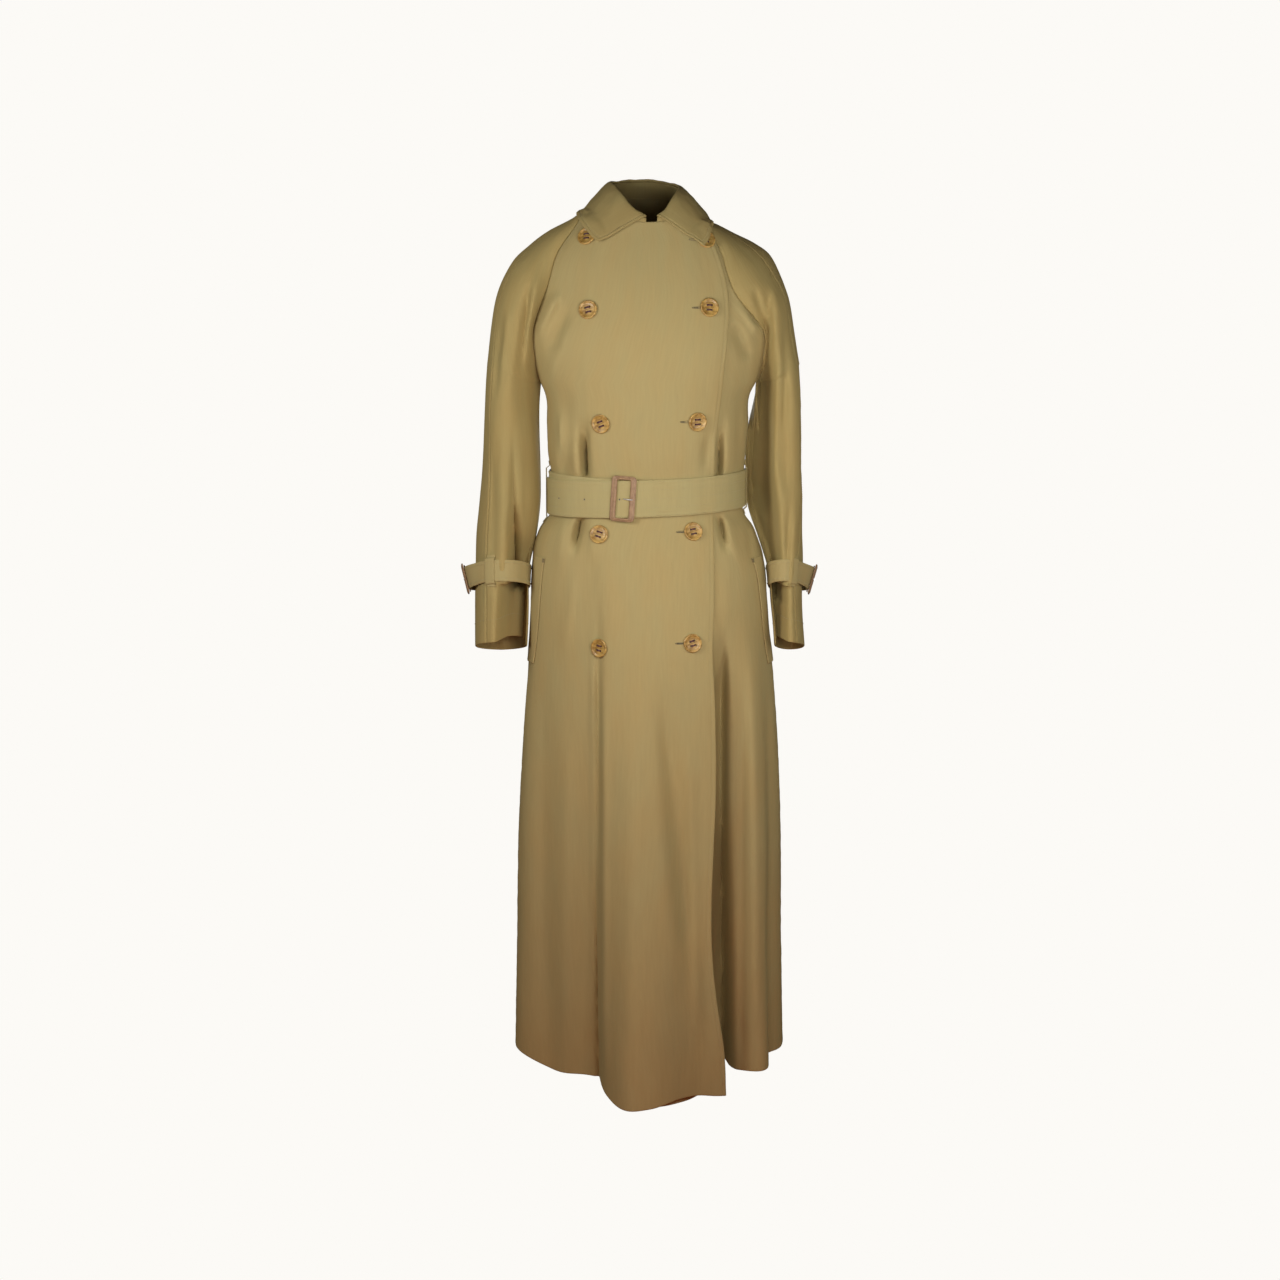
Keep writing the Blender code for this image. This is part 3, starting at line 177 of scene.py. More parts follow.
SLEEVE_RIGHT = table(
    "drop inner_x outer_x y depth yaw tilt rise",
    (0.220, 0.1570, 0.2340, 0.007, 0.080, 4, 0, 0.015),
    (0.265, 0.1600, 0.2375, 0.009, 0.079, 4, 1, 0.006),
    (0.310, 0.1610, 0.2392, 0.011, 0.077, 4, 2, 0.000),
    (0.360, 0.1605, 0.2420, 0.010, 0.074, 2, 4, 0.000),
    (0.410, 0.1600, 0.2470, 0.003, 0.071, 0, 8, 0.000),
    (0.460, 0.1660, 0.2520, 0.000, 0.069, -2, 11, 0.000),
    (0.505, 0.1757, 0.2535, -0.005, 0.066, -4, 13, 0.000),
    (0.560, 0.1775, 0.2545, -0.0178, 0.063, -6, 13, 0.000),
    (0.620, 0.1795, 0.2540, -0.0318, 0.060, -6, 13, 0.000),
)
SLEEVE_LEFT = table(
    "drop inner_x outer_x y depth yaw tilt rise",
    (0.220, 0.1550, 0.2155, 0.009, 0.080, 8, 0, 0.014),
    (0.265, 0.1500, 0.2180, 0.011, 0.078, 14, 1, 0.006),
    (0.310, 0.1455, 0.2190, 0.015, 0.076, 19, 2, 0.000),
    (0.360, 0.1440, 0.2200, 0.016, 0.073, 21, 4, 0.000),
    (0.410, 0.1470, 0.2220, 0.008, 0.070, 18, 8, 0.000),
    (0.460, 0.1625, 0.2230, 0.003, 0.068, 9, 11, 0.000),
    (0.505, 0.1750, 0.2255, -0.003, 0.066, -3, 13, 0.000),
    (0.560, 0.1790, 0.2245, -0.0157, 0.063, -6, 13, 0.000),
    (0.620, 0.1840, 0.2275, -0.0295, 0.060, -6, 13, 0.000),
)

LAP_EDGE = table(
    "drop x",
    (0.000, 0.0520),
    (0.011, 0.0740),
    (0.028, 0.0870),
    (0.055, 0.0980),
    (0.085, 0.1070),
    (0.115, 0.1120),
    (0.165, 0.1110),
    (0.212, 0.1060),
    (0.253, 0.1020),
    (0.284, 0.0985),
    (0.358, 0.0930),
    (0.560, 0.0925),
    (0.615, 0.0905),
    (0.685, 0.0937),
    (0.760, 0.0955),
    (1.100, 0.0950),
    (1.140, 0.0995),
    (1.200, 0.1080),
    (1.270, 0.1115),
)
UNDER_EDGE = table(
    "drop x",
    (0.002, -0.0540),
    (0.050, -0.0680),
    (0.100, -0.0750),
    (0.430, -0.0720),
    (1.270, -0.0660),
)

HEM_RIGHT = table(
    "angle drop",
    (-90, 1.229),
    (-76, 1.238),
    (-62, 1.250),
    (-28, 1.253),
    (-18, 1.258),
    (-8, 1.270),
    (0, 1.268),
    (8, 1.262),
    (17, 1.262),
    (26, 1.267),
    (40, 1.270),
)
HEM_LEFT = table(
    "angle drop",
    (-30, 1.254),
    (-8, 1.264),
    (26, 1.260),
    (34, 1.247),
    (44, 1.243),
    (58, 1.239),
    (72, 1.232),
    (90, 1.227),
)
HEM_BACK = table(
    "angle drop",
    (90, 1.227),
    (108, 1.238),
    (135, 1.253),
    (180, 1.262),
    (225, 1.253),
    (252, 1.239),
    (270, 1.229),
)

FOLDS = table(
    "under_only top_angle low_angle top_drop low_drop width_minus width_plus depth growth",
    (0, -3, -4, 0.560, 1.270, 9, 15, 0.050, 1.3),
    (0, -28, -24, 0.425, 1.270, 25, 6.5, -0.050, 1.0),
    (0, 8, 21, 0.620, 1.240, 6, 7, -0.014, 0.0),
    (0, -58, -60, 0.450, 1.270, 17, 19, -0.034, 1.0),
    (0, -38, -40, 0.270, 0.372, 5, 5, -0.008, 0.0),
    (0, -52, -52, 0.250, 0.368, 6, 6, 0.006, 0.0),
    (0, 34, 33, 0.290, 0.372, 4, 4, -0.006, 0.0),
    (1, 37.5, 36, 0.560, 1.270, 12, 10, -0.064, 0.9),
    (1, 52, 50, 0.600, 1.270, 6, 10, 0.014, 1.0),
    (1, 68, 70, 0.560, 1.270, 9, 9, -0.020, 1.0),
    (0, 118, 115, 0.460, 1.270, 11, 11, -0.030, 1.0),
    (0, 140, 138, 0.480, 1.270, 10, 10, 0.018, 1.0),
    (0, 163, 165, 0.440, 1.270, 9, 9, -0.028, 1.0),
    (0, 183, 184, 0.500, 1.270, 9, 9, 0.020, 1.0),
    (0, 207, 209, 0.450, 1.270, 10, 10, -0.032, 1.0),
    (0, 228, 230, 0.520, 1.270, 9, 9, 0.016, 1.0),
    (0, 248, 250, 0.480, 1.270, 9, 9, -0.022, 1.0),
    (0, 150, 148, 0.270, 0.374, 7, 7, -0.007, 0.0),
    (0, 208, 210, 0.270, 0.374, 7, 7, -0.007, 0.0),
)

COLLAR = table(
    "turn roll_x roll_y roll_z edge_x edge_y edge_z",
    (0.00, -0.0042, -0.0725, -0.0035, -0.0705, -0.084, -0.0384),
    (0.05, -0.0180, -0.0700, 0.0050, -0.0790, -0.078, -0.0310),
    (0.12, -0.0360, -0.0570, 0.0240, -0.0875, -0.066, -0.0194),
    (0.20, -0.0485, -0.0330, 0.0405, -0.0950, -0.040, -0.0030),
    (0.28, -0.0532, -0.0020, 0.0470, -0.0965, -0.006, 0.0052),
    (0.36, -0.0475, 0.0300, 0.0495, -0.0880, 0.040, 0.0045),
    (0.43, -0.0310, 0.0500, 0.0520, -0.0600, 0.078, 0.0000),
    (0.50, -0.0040, 0.0560, 0.0530, 0.0000, 0.094, -0.0020),
    (0.57, 0.0210, 0.0500, 0.0505, 0.0590, 0.078, -0.0010),
    (0.64, 0.0370, 0.0300, 0.0450, 0.0815, 0.040, 0.0005),
    (0.72, 0.0425, -0.0020, 0.0400, 0.0862, -0.006, -0.0025),
    (0.80, 0.0405, -0.0330, 0.0350, 0.0868, -0.040, -0.0090),
    (0.88, 0.0330, -0.0570, 0.0210, 0.0850, -0.066, -0.0220),
    (0.95, 0.0220, -0.0690, 0.0050, 0.0815, -0.078, -0.0360),
    (1.00, 0.0113, -0.0725, -0.0030, 0.0747, -0.084, -0.0439),
)
COLLAR_REST = 0.0014
COLLAR_LIFT = 0.0046
COLLAR_ROLL = 0.0022
COLLAR_LENGTH = 0.42
COLLAR_FALL = 0.085

BELT = table(
    "run drop",
    (0, 0.3975),
    (70, 0.391),
    (180, 0.390),
    (290, 0.391),
    (325, 0.396),
    (354, 0.3985),
    (380, 0.4000),
    (450, 0.401),
)
WAIST_DROP = 0.400
WAIST_BAND = np.linspace(0.361, 0.4275, 8)
LOOPS = table("side whole_turns shift reach", (-1, 1, 0.005, 0.0345), (1, 0, 0.0, 0.0290))

BUTTONS = table(
    "x_right x_left drop_right drop_left",
    (-0.0880, 0.0800, 0.0295, 0.0340),
    (-0.0857, 0.0843, 0.1320, 0.1290),
    (-0.0679, 0.0679, 0.2917, 0.2889),
    (-0.0710, 0.0625, 0.4500, 0.4460),
    (-0.0687, 0.0615, 0.6110, 0.6030),
)

# Finer creases, as seen from in front (face 1) or behind (face -1). Each runs from its top to its low end,
# has a width to either side, and fades in and out over these shares of its length. Ridges stand out
# (depth > 0) and troughs go in. Its shape is 0 where it is soft, POINTED, or FLAT with steep sides.
CREASE_COLUMNS = "face top_x top_drop low_x low_drop width_minus width_plus depth fade_in fade_out shape"
POINTED, FLAT = 1, 2
BODY_CREASES = table(
    CREASE_COLUMNS,
    (1, -0.1260, 0.104, -0.1600, 0.172, 0.010, 0.006, 0.0095, 0.3, 0.2, 0),
    (1, -0.1120, 0.120, -0.1440, 0.200, 0.009, 0.010, -0.0085, 0.3, 0.3, 0),
    (1, -0.1180, 0.150, -0.1440, 0.238, 0.012, 0.008, 0.0035, 0.3, 0.3, 0),
    (1, 0.1300, 0.112, 0.1560, 0.168, 0.007, 0.010, 0.0095, 0.3, 0.2, 0),
    (1, 0.1180, 0.150, 0.1440, 0.205, 0.010, 0.008, -0.0090, 0.3, 0.3, 0),
    (1, -0.1270, 0.265, -0.1320, 0.362, 0.007, 0.010, 0.0045, 0.4, 0.1, 0),
    (1, -0.1130, 0.230, -0.1160, 0.362, 0.009, 0.006, -0.0040, 0.4, 0.1, 0),
    (1, -0.0895, 0.285, -0.0885, 0.380, 0.0110, 0.0070, -0.0300, 0.55, 0.01, 1),
    (1, -0.1060, 0.300, -0.1040, 0.380, 0.0080, 0.0090, 0.0060, 0.5, 0.02, 0),
    (1, -0.1235, 0.230, -0.1225, 0.372, 0.0060, 0.0080, -0.0060, 0.5, 0.05, 0),
    (1, -0.0790, 0.300, -0.0760, 0.372, 0.006, 0.010, 0.0030, 0.5, 0.05, 0),
    (1, -0.1040, 0.290, -0.1030, 0.372, 0.005, 0.005, 0.0030, 0.4, 0.1, 0),
    (1, 0.1000, 0.290, 0.0990, 0.380, 0.0070, 0.0090, -0.0300, 0.55, 0.01, 1),
    (1, 0.1140, 0.270, 0.1150, 0.366, 0.006, 0.009, 0.0035, 0.4, 0.1, 0),
    (1, 0.1280, 0.240, 0.1300, 0.366, 0.006, 0.006, -0.0030, 0.4, 0.1, 0),
    (1, 0.1500, 0.190, 0.1400, 0.250, 0.006, 0.010, 0.0035, 0.3, 0.3, 0),
    (1, -0.0950, 0.420, -0.1080, 0.485, 0.0120, 0.0080, -0.0300, 0.01, 0.6, 1),
    (1, -0.0840, 0.420, -0.0800, 0.500, 0.006, 0.010, 0.0035, 0.05, 0.5, 0),
    (1, -0.1220, 0.425, -0.1300, 0.520, 0.008, 0.008, 0.0040, 0.05, 0.5, 0),
    (1, -0.1050, 0.480, -0.1240, 0.640, 0.010, 0.008, 0.0030, 0.4, 0.4, 0),
    (1, 0.1000, 0.420, 0.1100, 0.480, 0.0080, 0.0090, -0.0280, 0.01, 0.6, 1),
    (1, 0.1080, 0.425, 0.1330, 0.500, 0.006, 0.009, 0.0045, 0.05, 0.5, 0),
    (1, 0.1420, 0.430, 0.1500, 0.510, 0.006, 0.006, -0.0045, 0.05, 0.5, 0),
    (1, -0.0790, 0.560, -0.0810, 1.200, 0.0045, 0.0040, 0.0036, 0.2, 0.2, 0),
    (1, -0.0640, 0.620, -0.0650, 1.250, 0.0040, 0.0060, 0.0042, 0.2, 0.2, 0),
    (1, -0.0712, 0.500, -0.0725, 1.280, 0.0050, 0.0045, -0.0085, 0.3, 0.02, 0),
    (1, -0.1180, 0.700, -0.1240, 1.230, 0.012, 0.012, 0.0030, 0.3, 0.2, 0),
    (1, -0.1520, 0.620, -0.1560, 1.220, 0.010, 0.014, -0.0030, 0.3, 0.2, 0),
    (1, 0.0150, 0.640, 0.0560, 1.080, 0.012, 0.014, -0.0100, 0.3, 0.3, 0),
    (1, 0.0550, 0.700, 0.0720, 1.200, 0.010, 0.010, 0.0060, 0.3, 0.2, 0),
    (1, -0.0250, 0.640, -0.0200, 1.240, 0.018, 0.022, 0.0025, 0.3, 0.2, 0),
    (1, -0.0300, 0.045, -0.0300, 0.340, 0.030, 0.030, 0.0012, 0.3, 0.3, 0),
    (1, 0.0300, 0.150, 0.0250, 0.350, 0.020, 0.025, -0.0012, 0.3, 0.3, 0),
    (-1, -0.1150, 0.130, -0.1450, 0.230, 0.008, 0.012, -0.0060, 0.3, 0.3, 0),
    (-1, 0.1120, 0.130, 0.1400, 0.230, 0.012, 0.008, -0.0060, 0.3, 0.3, 0),
    (-1, -0.1000, 0.150, -0.1300, 0.240, 0.009, 0.009, 0.0035, 0.3, 0.3, 0),
    (-1, 0.0980, 0.150, 0.1260, 0.240, 0.009, 0.009, 0.0035, 0.3, 0.3, 0),
    (-1, -0.0900, 0.280, -0.0880, 0.372, 0.008, 0.006, -0.0075, 0.4, 0.05, 0),
    (-1, 0.0300, 0.290, 0.0280, 0.372, 0.007, 0.008, -0.0055, 0.4, 0.05, 0),
    (-1, 0.0850, 0.270, 0.0880, 0.372, 0.008, 0.006, -0.0080, 0.4, 0.05, 0),
    (-1, -0.0400, 0.300, -0.0420, 0.372, 0.008, 0.008, 0.0040, 0.4, 0.05, 0),
    (-1, 0.0600, 0.420, 0.0700, 0.520, 0.007, 0.009, -0.0075, 0.05, 0.5, 0),
    (-1, -0.0500, 0.420, -0.0580, 0.530, 0.007, 0.009, -0.0075, 0.05, 0.5, 0),
    (-1, -0.1050, 0.420, -0.1180, 0.510, 0.007, 0.007, -0.0060, 0.05, 0.5, 0),
    (-1, 0.0100, 0.420, 0.0060, 0.500, 0.007, 0.007, -0.0050, 0.05, 0.5, 0),
)
# Troughs of the under front alone, beside the top one's free edge.
UNDER_CREASES = table(
    CREASE_COLUMNS,
    (1, 0.1000, 0.585, 0.1035, 1.290, 0.0180, 0.0125, -0.0460, 0.16, 0.02, 2),
    (1, 0.1080, 0.820, 0.1150, 1.290, 0.0140, 0.0150, -0.0240, 0.4, 0.02, 1),
    (1, 0.1480, 0.600, 0.1560, 1.220, 0.007, 0.010, 0.0050, 0.3, 0.2, 0),
    (1, 0.1340, 0.640, 0.1380, 1.240, 0.006, 0.008, -0.0050, 0.3, 0.1, 0),
)
SLEEVE_CREASES_RIGHT = table(
    CREASE_COLUMNS,
    (1, -0.1580, 0.075, -0.1800, 0.215, 0.0045, 0.008, 0.0085, 0.3, 0.4, 0),
    (1, -0.1690, 0.090, -0.1880, 0.240, 0.007, 0.005, -0.0085, 0.3, 0.4, 0),
    (1, -0.1990, 0.125, -0.2160, 0.240, 0.0045, 0.007, 0.0065, 0.3, 0.4, 0),
    (1, -0.2080, 0.150, -0.2220, 0.270, 0.006, 0.004, -0.0065, 0.3, 0.4, 0),
    (1, -0.1565, 0.145, -0.1530, 0.262, 0.0075, 0.008, -0.0130, 0.3, 0.3, 0),
    (1, -0.1950, 0.290, -0.1970, 0.530, 0.0075, 0.013, -0.0160, 0.6, 0.02, 1),
    (1, -0.1975, 0.400, -0.1970, 0.540, 0.0090, 0.0380, -0.0550, 0.75, 0.02, 1),
    (1, -0.1780, 0.300, -0.1800, 0.530, 0.010, 0.020, -0.0090, 0.5, 0.02, 0),
    (1, -0.2110, 0.300, -0.2120, 0.520, 0.007, 0.008, 0.0040, 0.4, 0.1, 0),
    (1, -0.2230, 0.330, -0.2260, 0.500, 0.005, 0.006, -0.0035, 0.4, 0.2, 0),
    (1, -0.1890, 0.525, -0.1950, 0.650, 0.0225, 0.0400, -0.0720, 0.02, 0.02, 2),
    (1, -0.2210, 0.536, -0.2270, 0.640, 0.006, 0.006, 0.0025, 0.1, 0.1, 0),
    (-1, -0.1950, 0.100, -0.1850, 0.260, 0.010, 0.008, -0.0060, 0.3, 0.3, 0),
    (-1, -0.2050, 0.230, -0.1950, 0.420, 0.009, 0.012, -0.0080, 0.3, 0.3, 0),
    (-1, -0.2180, 0.250, -0.2150, 0.440, 0.008, 0.008, 0.0040, 0.3, 0.3, 0),
    (-1, -0.2150, 0.380, -0.2150, 0.520, 0.007, 0.009, -0.0090, 0.5, 0.02, 0),
    (-1, -0.2150, 0.530, -0.2180, 0.640, 0.008, 0.008, -0.0070, 0.02, 0.2, 0),
)
SLEEVE_CREASES_LEFT = table(
    CREASE_COLUMNS,
    (1, 0.1500, 0.098, 0.1670, 0.172, 0.007, 0.004, -0.0080, 0.3, 0.2, 0),
    (1, 0.1690, 0.095, 0.1665, 0.250, 0.0085, 0.005, -0.0120, 0.3, 0.2, 0),
    (1, 0.1800, 0.080, 0.1790, 0.260, 0.005, 0.012, 0.0070, 0.3, 0.3, 0),
    (1, 0.1930, 0.140, 0.1940, 0.320, 0.005, 0.007, -0.0060, 0.3, 0.3, 0),
    (1, 0.1600, 0.205, 0.1630, 0.440, 0.0260, 0.0150, -0.0440, 0.15, 0.2, 2),
    (1, 0.1620, 0.340, 0.1820, 0.560, 0.0260, 0.0140, -0.0480, 0.3, 0.03, 2),
    (1, 0.1830, 0.190, 0.1820, 0.420, 0.0095, 0.0160, 0.0160, 0.3, 0.3, 1),
    (1, 0.1820, 0.340, 0.2000, 0.530, 0.0085, 0.0120, 0.0100, 0.3, 0.05, 0),
    (1, 0.2010, 0.400, 0.1980, 0.525, 0.0060, 0.0050, -0.0100, 0.6, 0.02, 0),
    (1, 0.2110, 0.380, 0.2080, 0.520, 0.005, 0.008, 0.0035, 0.5, 0.1, 0),
    (1, 0.1800, 0.525, 0.1775, 0.650, 0.0400, 0.0175, -0.0720, 0.02, 0.02, 2),
    (1, 0.2080, 0.536, 0.2060, 0.640, 0.006, 0.010, 0.0025, 0.1, 0.1, 0),
    (-1, 0.1700, 0.100, 0.1700, 0.260, 0.008, 0.010, -0.0060, 0.3, 0.3, 0),
    (-1, 0.1850, 0.230, 0.1800, 0.420, 0.012, 0.009, -0.0080, 0.3, 0.3, 0),
    (-1, 0.1960, 0.250, 0.1940, 0.440, 0.008, 0.008, 0.0040, 0.3, 0.3, 0),
    (-1, 0.1950, 0.380, 0.1950, 0.520, 0.009, 0.007, -0.0090, 0.5, 0.02, 0),
    (-1, 0.2000, 0.530, 0.2050, 0.640, 0.008, 0.008, -0.0070, 0.02, 0.2, 0),
)


# Curves and vectors


def smooth(xs, ys, x):
    """A smooth curve through the points (xs, ys), read at x. xs rise, and it is level beyond its ends."""
    x = np.clip(x, xs[0], xs[-1])
    slopes = np.gradient(ys, xs)
    i = np.clip(np.searchsorted(xs, x) - 1, 0, len(xs) - 2)
    step = xs[i + 1] - xs[i]
    t = (x - xs[i]) / step
    return (
        ys[i] * (1 + 2 * t) * (1 - t) ** 2
        + slopes[i] * step * t * (1 - t) ** 2
        + ys[i + 1] * t**2 * (3 - 2 * t)
        + slopes[i + 1] * step * t**2 * (t - 1)
    )


def read(rows, key, name, x):
    return smooth(rows[key], rows[name], x)


def eased(t):
    """0 below 0, 1 above 1, and smooth between."""
    t = np.clip(t, 0, 1)
    return t * t * (3 - 2 * t)


def signed_power(value, power):
    return np.sign(value) * np.abs(value) ** power


def unit(vectors):
    return vectors / np.maximum(np.linalg.norm(vectors, axis=-1, keepdims=True), 1e-12)


def apart(one, other):
    """How far the middles of two layers of cloth lie apart, from their thicknesses."""
    return (one + other) / 2 + LAYER_GAP


def run_lengths(points, axis):
    """The distance along each line of points, from its start."""
    steps = np.linalg.norm(np.diff(points, axis=axis), axis=-1)
    start = np.zeros_like(np.take(steps, [0], axis=axis))
    return np.concatenate([start, np.cumsum(steps, axis=axis)], axis=axis)


# The body's surface


def angle_at(x, drop):
    """The front angle at which the body's ring at this drop has this x."""
    share = (x - read(BODY, "drop", "centre", drop)) / read(BODY, "drop", "half", drop)
    squareness = read(BODY, "drop", "squareness", drop)
    return np.degrees(np.arcsin(np.clip(signed_power(share, squareness / 2), -1, 1)))


def fold_offset(angle, drop, layer):
    total = np.zeros(np.broadcast(angle, drop).shape)
    for fold in zip(*FOLDS.values()):
        under_only, top_angle, low_angle, top, low, width_minus, width_plus, depth, growth = fold
        if under_only and layer != "under":
            continue
        share = np.clip((drop - top) / (low - top), 0, 1)
        if growth:
            size = depth * share**growth
        else:
            size = depth * np.sin(np.pi * share) ** 2
        away = (angle - top_angle - (low_angle - top_angle) * share + 180) % 360 - 180
        width = np.where(away < 0, width_minus, width_plus)
        total = total + size * np.exp(-((away / width) ** 2))
    return total


def lap_offset(angle, drop, layer):
    """The fronts part where they overlap: the top one outwards, the under one inwards."""
    from_drop, to_drop = LAP_SPREAD_DROPS
    offset = LAP_OFFSET + LAP_SPREAD * eased((drop - from_drop) / (to_drop - from_drop))
    reach, ramp = 10, 8
    if layer == "top":
        return offset * eased((angle - angle_at(read(UNDER_EDGE, "drop", "x", drop), drop) + reach) / ramp)
    if layer == "under":
        return -offset * eased((angle_at(read(LAP_EDGE, "drop", "x", drop), drop) + reach - angle) / ramp)
    return np.zeros(np.broadcast(angle, drop).shape)


def body(angle, drop, layer=None):
    """A point of the body's surface. The under front has folds of its own."""
    squareness = read(BODY, "drop", "squareness", drop)
    half = read(BODY, "drop", "half", drop)
    sin, cos = np.sin(np.radians(angle)), np.cos(np.radians(angle))
    depth = np.where(cos > 0, read(BODY, "drop", "front", drop), read(BODY, "drop", "back", drop))
    x = read(BODY, "drop", "centre", drop) + half * signed_power(sin, 2 / squareness)
    y = -depth * signed_power(cos, 2 / squareness)
    out = unit(np.stack([depth * sin, -half * cos], -1))
    push = fold_offset(angle, drop, layer)
    return np.stack([x + out[..., 0] * push, y + out[..., 1] * push, -drop + 0 * x], -1)


def body_normal(angle, drop, layer=None):
    step_angle, step_drop = 0.4, 0.001
    along = body(angle + step_angle, drop, layer) - body(angle - step_angle, drop, layer)
    down = body(angle, drop + step_drop, layer) - body(angle, drop - step_drop, layer)
    return unit(np.cross(down, along))


# Grids and shells


def grid_normals(points, closed=False):
    """Normals of a grid whose columns run counterclockwise from above. A closed grid's ends meet."""
    if closed:
        wide = np.concatenate([points[:, -2:-1], points, points[:, 1:2]], 1)
        along = wide[:, 2:] - wide[:, :-2]
    else:
        along = np.gradient(points, axis=1)
    return unit(np.cross(np.gradient(points, axis=0), along))


def stepped(width, count):
    """Shares of the way across each row, close together beside both edges."""
    near = EDGE_STEPS / np.asarray(width, float)[..., None]
    last = near[..., -1:]
    inner = last + (1 - 2 * last) * np.linspace(0, 1, count + 1)[1:-1]
    return np.concatenate([near, inner, 1 - near[..., ::-1]], -1)


def even(surface, first, last, count):
    """The parameters, evenly spaced along each row of a surface, and each row's width."""
    fine = first[:, None] + (last - first)[:, None] * np.linspace(0, 1, 220)
    runs = run_lengths(surface(fine), 1)
    width = runs[:, -1]
    wanted = stepped(width, count) * width[:, None]
    return np.array([np.interp(row, run, at) for row, run, at in zip(wanted, runs, fine)]), width


def edge_distances(width, count):
    """How far each column is from the first edge and from the last."""
    across = stepped(width, count) * np.asarray(width)[:, None]
    return across, np.asarray(width)[:, None] - across


SEAM_RELIEF = ((0.0, 0.0013, 0.0042, 0.0058, 0.010, 0.020), (-0.0007, -0.0002, 0.0004, 0.0, 0.0002, 0.0))
FOLDED_RELIEF = ((0.0, 0.0042, 0.0058, 0.0074, 0.014, 0.020), (0.0, 0.0003, -0.0002, 0.0002, 0.0001, 0.0))
ROUNDING = ((0.0, 0.0005, 0.0013, 0.0026), (0.25, 0.70, 0.93, 1.0))


def pucker(points, distance):
    """The small waves beside a row of stitches."""
    near = np.exp(-(((distance - 0.006) / 0.007) ** 2))
    waves = np.zeros(points.shape[:2])
    for index in np.argwhere(near > 0.05):
        place = Vector(points[tuple(index)]) * 75
        waves[tuple(index)] = noise.noise(place)
    return waves * near * 0.0006


def crease_push(points, normals, creases):
    """How far the creases move a grid's points: ridges towards the viewer on their face, troughs away."""
    total = np.zeros(points.shape[:2])
    at = np.stack([points[..., 0], -points[..., 2]], -1)
    for face, top_x, top_drop, low_x, low_drop, minus, plus, depth, fade_in, fade_out, shape in zip(
        *creases.values()
    ):
        top, low = np.array((top_x, top_drop)), np.array((low_x, low_drop))
        length = np.linalg.norm(low - top)
        down = (low - top) / length
        along = ((at - top) @ down) / length
        away = (at - top) @ np.array((down[1], -down[0]))
        across = np.abs(away) / np.where(away < 0, minus, plus)
        if shape == FLAT:
            profile = np.exp(-(across**4))
        elif shape == POINTED:
            profile = np.clip(1 - across, 0, 1) ** 1.3
        else:
            profile = np.exp(-(across**2))
        ends = eased(along / fade_in) * eased((1 - along) / fade_out)
        facing = eased(-normals[..., 1] * face / 0.35)
        total -= face * depth * profile * ends * facing
    return total[..., None] * np.array((0, 1, 0))


def unevenness(points, size, depth):
    """Soft dents all over, longer down the cloth than across it."""
    flat = points.reshape(-1, 3) * np.array((1, 1, 0.35)) / size
    waves = [noise.noise(Vector(place)) + 0.5 * noise.noise(Vector(place) * 2.3) for place in flat]
    return np.array(waves).reshape(points.shape[:2]) * depth


def grid_faces(rows, columns):
    index = np.arange(rows * columns).reshape(rows, columns)
    return np.stack([index[:-1, :-1], index[1:, :-1], index[1:, 1:], index[:-1, 1:]], -1).reshape(-1, 4)


def tube_faces(rings, section, closed=True):
    """The faces between rings of this many points. A closed tube's last ring meets its first."""
    faces = []
    for number in range(rings if closed else rings - 1):
        here, there = number * section, (number + 1) % rings * section
        for j in range(section):
            following = (j + 1) % section
            faces.append((here + j, here + following, there + following, there + j))
    return faces


def riding(name, data, matrix=None):
    """An object that rides with the coat."""
    piece = bpy.data.objects.new(name, data)
    bpy.context.scene.collection.objects.link(piece)
    if matrix is not None:
        piece.matrix_world = matrix
    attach(piece, "root")
    return piece


def new_piece(name, points, faces, material, uv=None, smooth_angle=60):
    """A mesh object that rides with the coat. uv has a point for each vertex, in metres."""
    mesh = bpy.data.meshes.new(name)
    mesh.from_pydata(np.asarray(points).tolist(), [], np.asarray(faces).tolist() if uv is not None else faces)
    mesh.materials.append(material)
    if uv is not None:
        layer = mesh.uv_layers.new(name="UVMap")
        corners = np.empty(len(mesh.loops), int)
        mesh.loops.foreach_get("vertex_index", corners)
        layer.data.foreach_set("uv", np.asarray(uv, float)[corners].ravel())
    mesh.shade_smooth()
    mesh.set_sharp_from_angle(angle=math.radians(smooth_angle))
    return riding(name, mesh)


def shell(name, points, normals, thickness, material):
    """A closed shell on both sides of a grid. thickness may differ from point to point."""
    half = np.broadcast_to(thickness, points.shape[:2])[..., None] / 2
    rows, columns = points.shape[:2]
    outer = (points + normals * half).reshape(-1, 3)
    inner = (points - normals * half).reshape(-1, 3)
    faces = grid_faces(rows, columns)
    index = np.arange(rows * columns).reshape(rows, columns)
    rim = np.concatenate([index[:, 0], index[-1, 1:], index[-2::-1, -1], index[0, -2:0:-1]])
    following = np.roll(rim, -1)
    shift = rows * columns
    edge = np.stack([rim, rim + shift, following + shift, following], -1)
    faces = np.concatenate([faces, faces[:, ::-1] + shift, edge])
    corner = outer[faces[0]]
    if np.cross(corner[1] - corner[0], corner[3] - corner[0]) @ normals[0, 0] < 0:
        faces = faces[:, ::-1]
    across = run_lengths(points[rows // 2][None], 1)
    across = across - across[:, -1:] / 2
    uv = np.stack(np.broadcast_arrays(across, -run_lengths(points, 0)), -1).reshape(-1, 2)
    return new_piece(name, np.concatenate([outer, inner]), faces, material, np.concatenate([uv, uv]), 80)


def edge_grid(distances, profile):
    return np.interp(distances, *profile)


def nearest_edges(across, width, along, length):
    """How far each point of a strip is from its nearest edge."""
    beside = np.minimum(across, 1 - across)[:, None] * width
    return np.minimum(beside, np.minimum(along, 1 - along) * length)


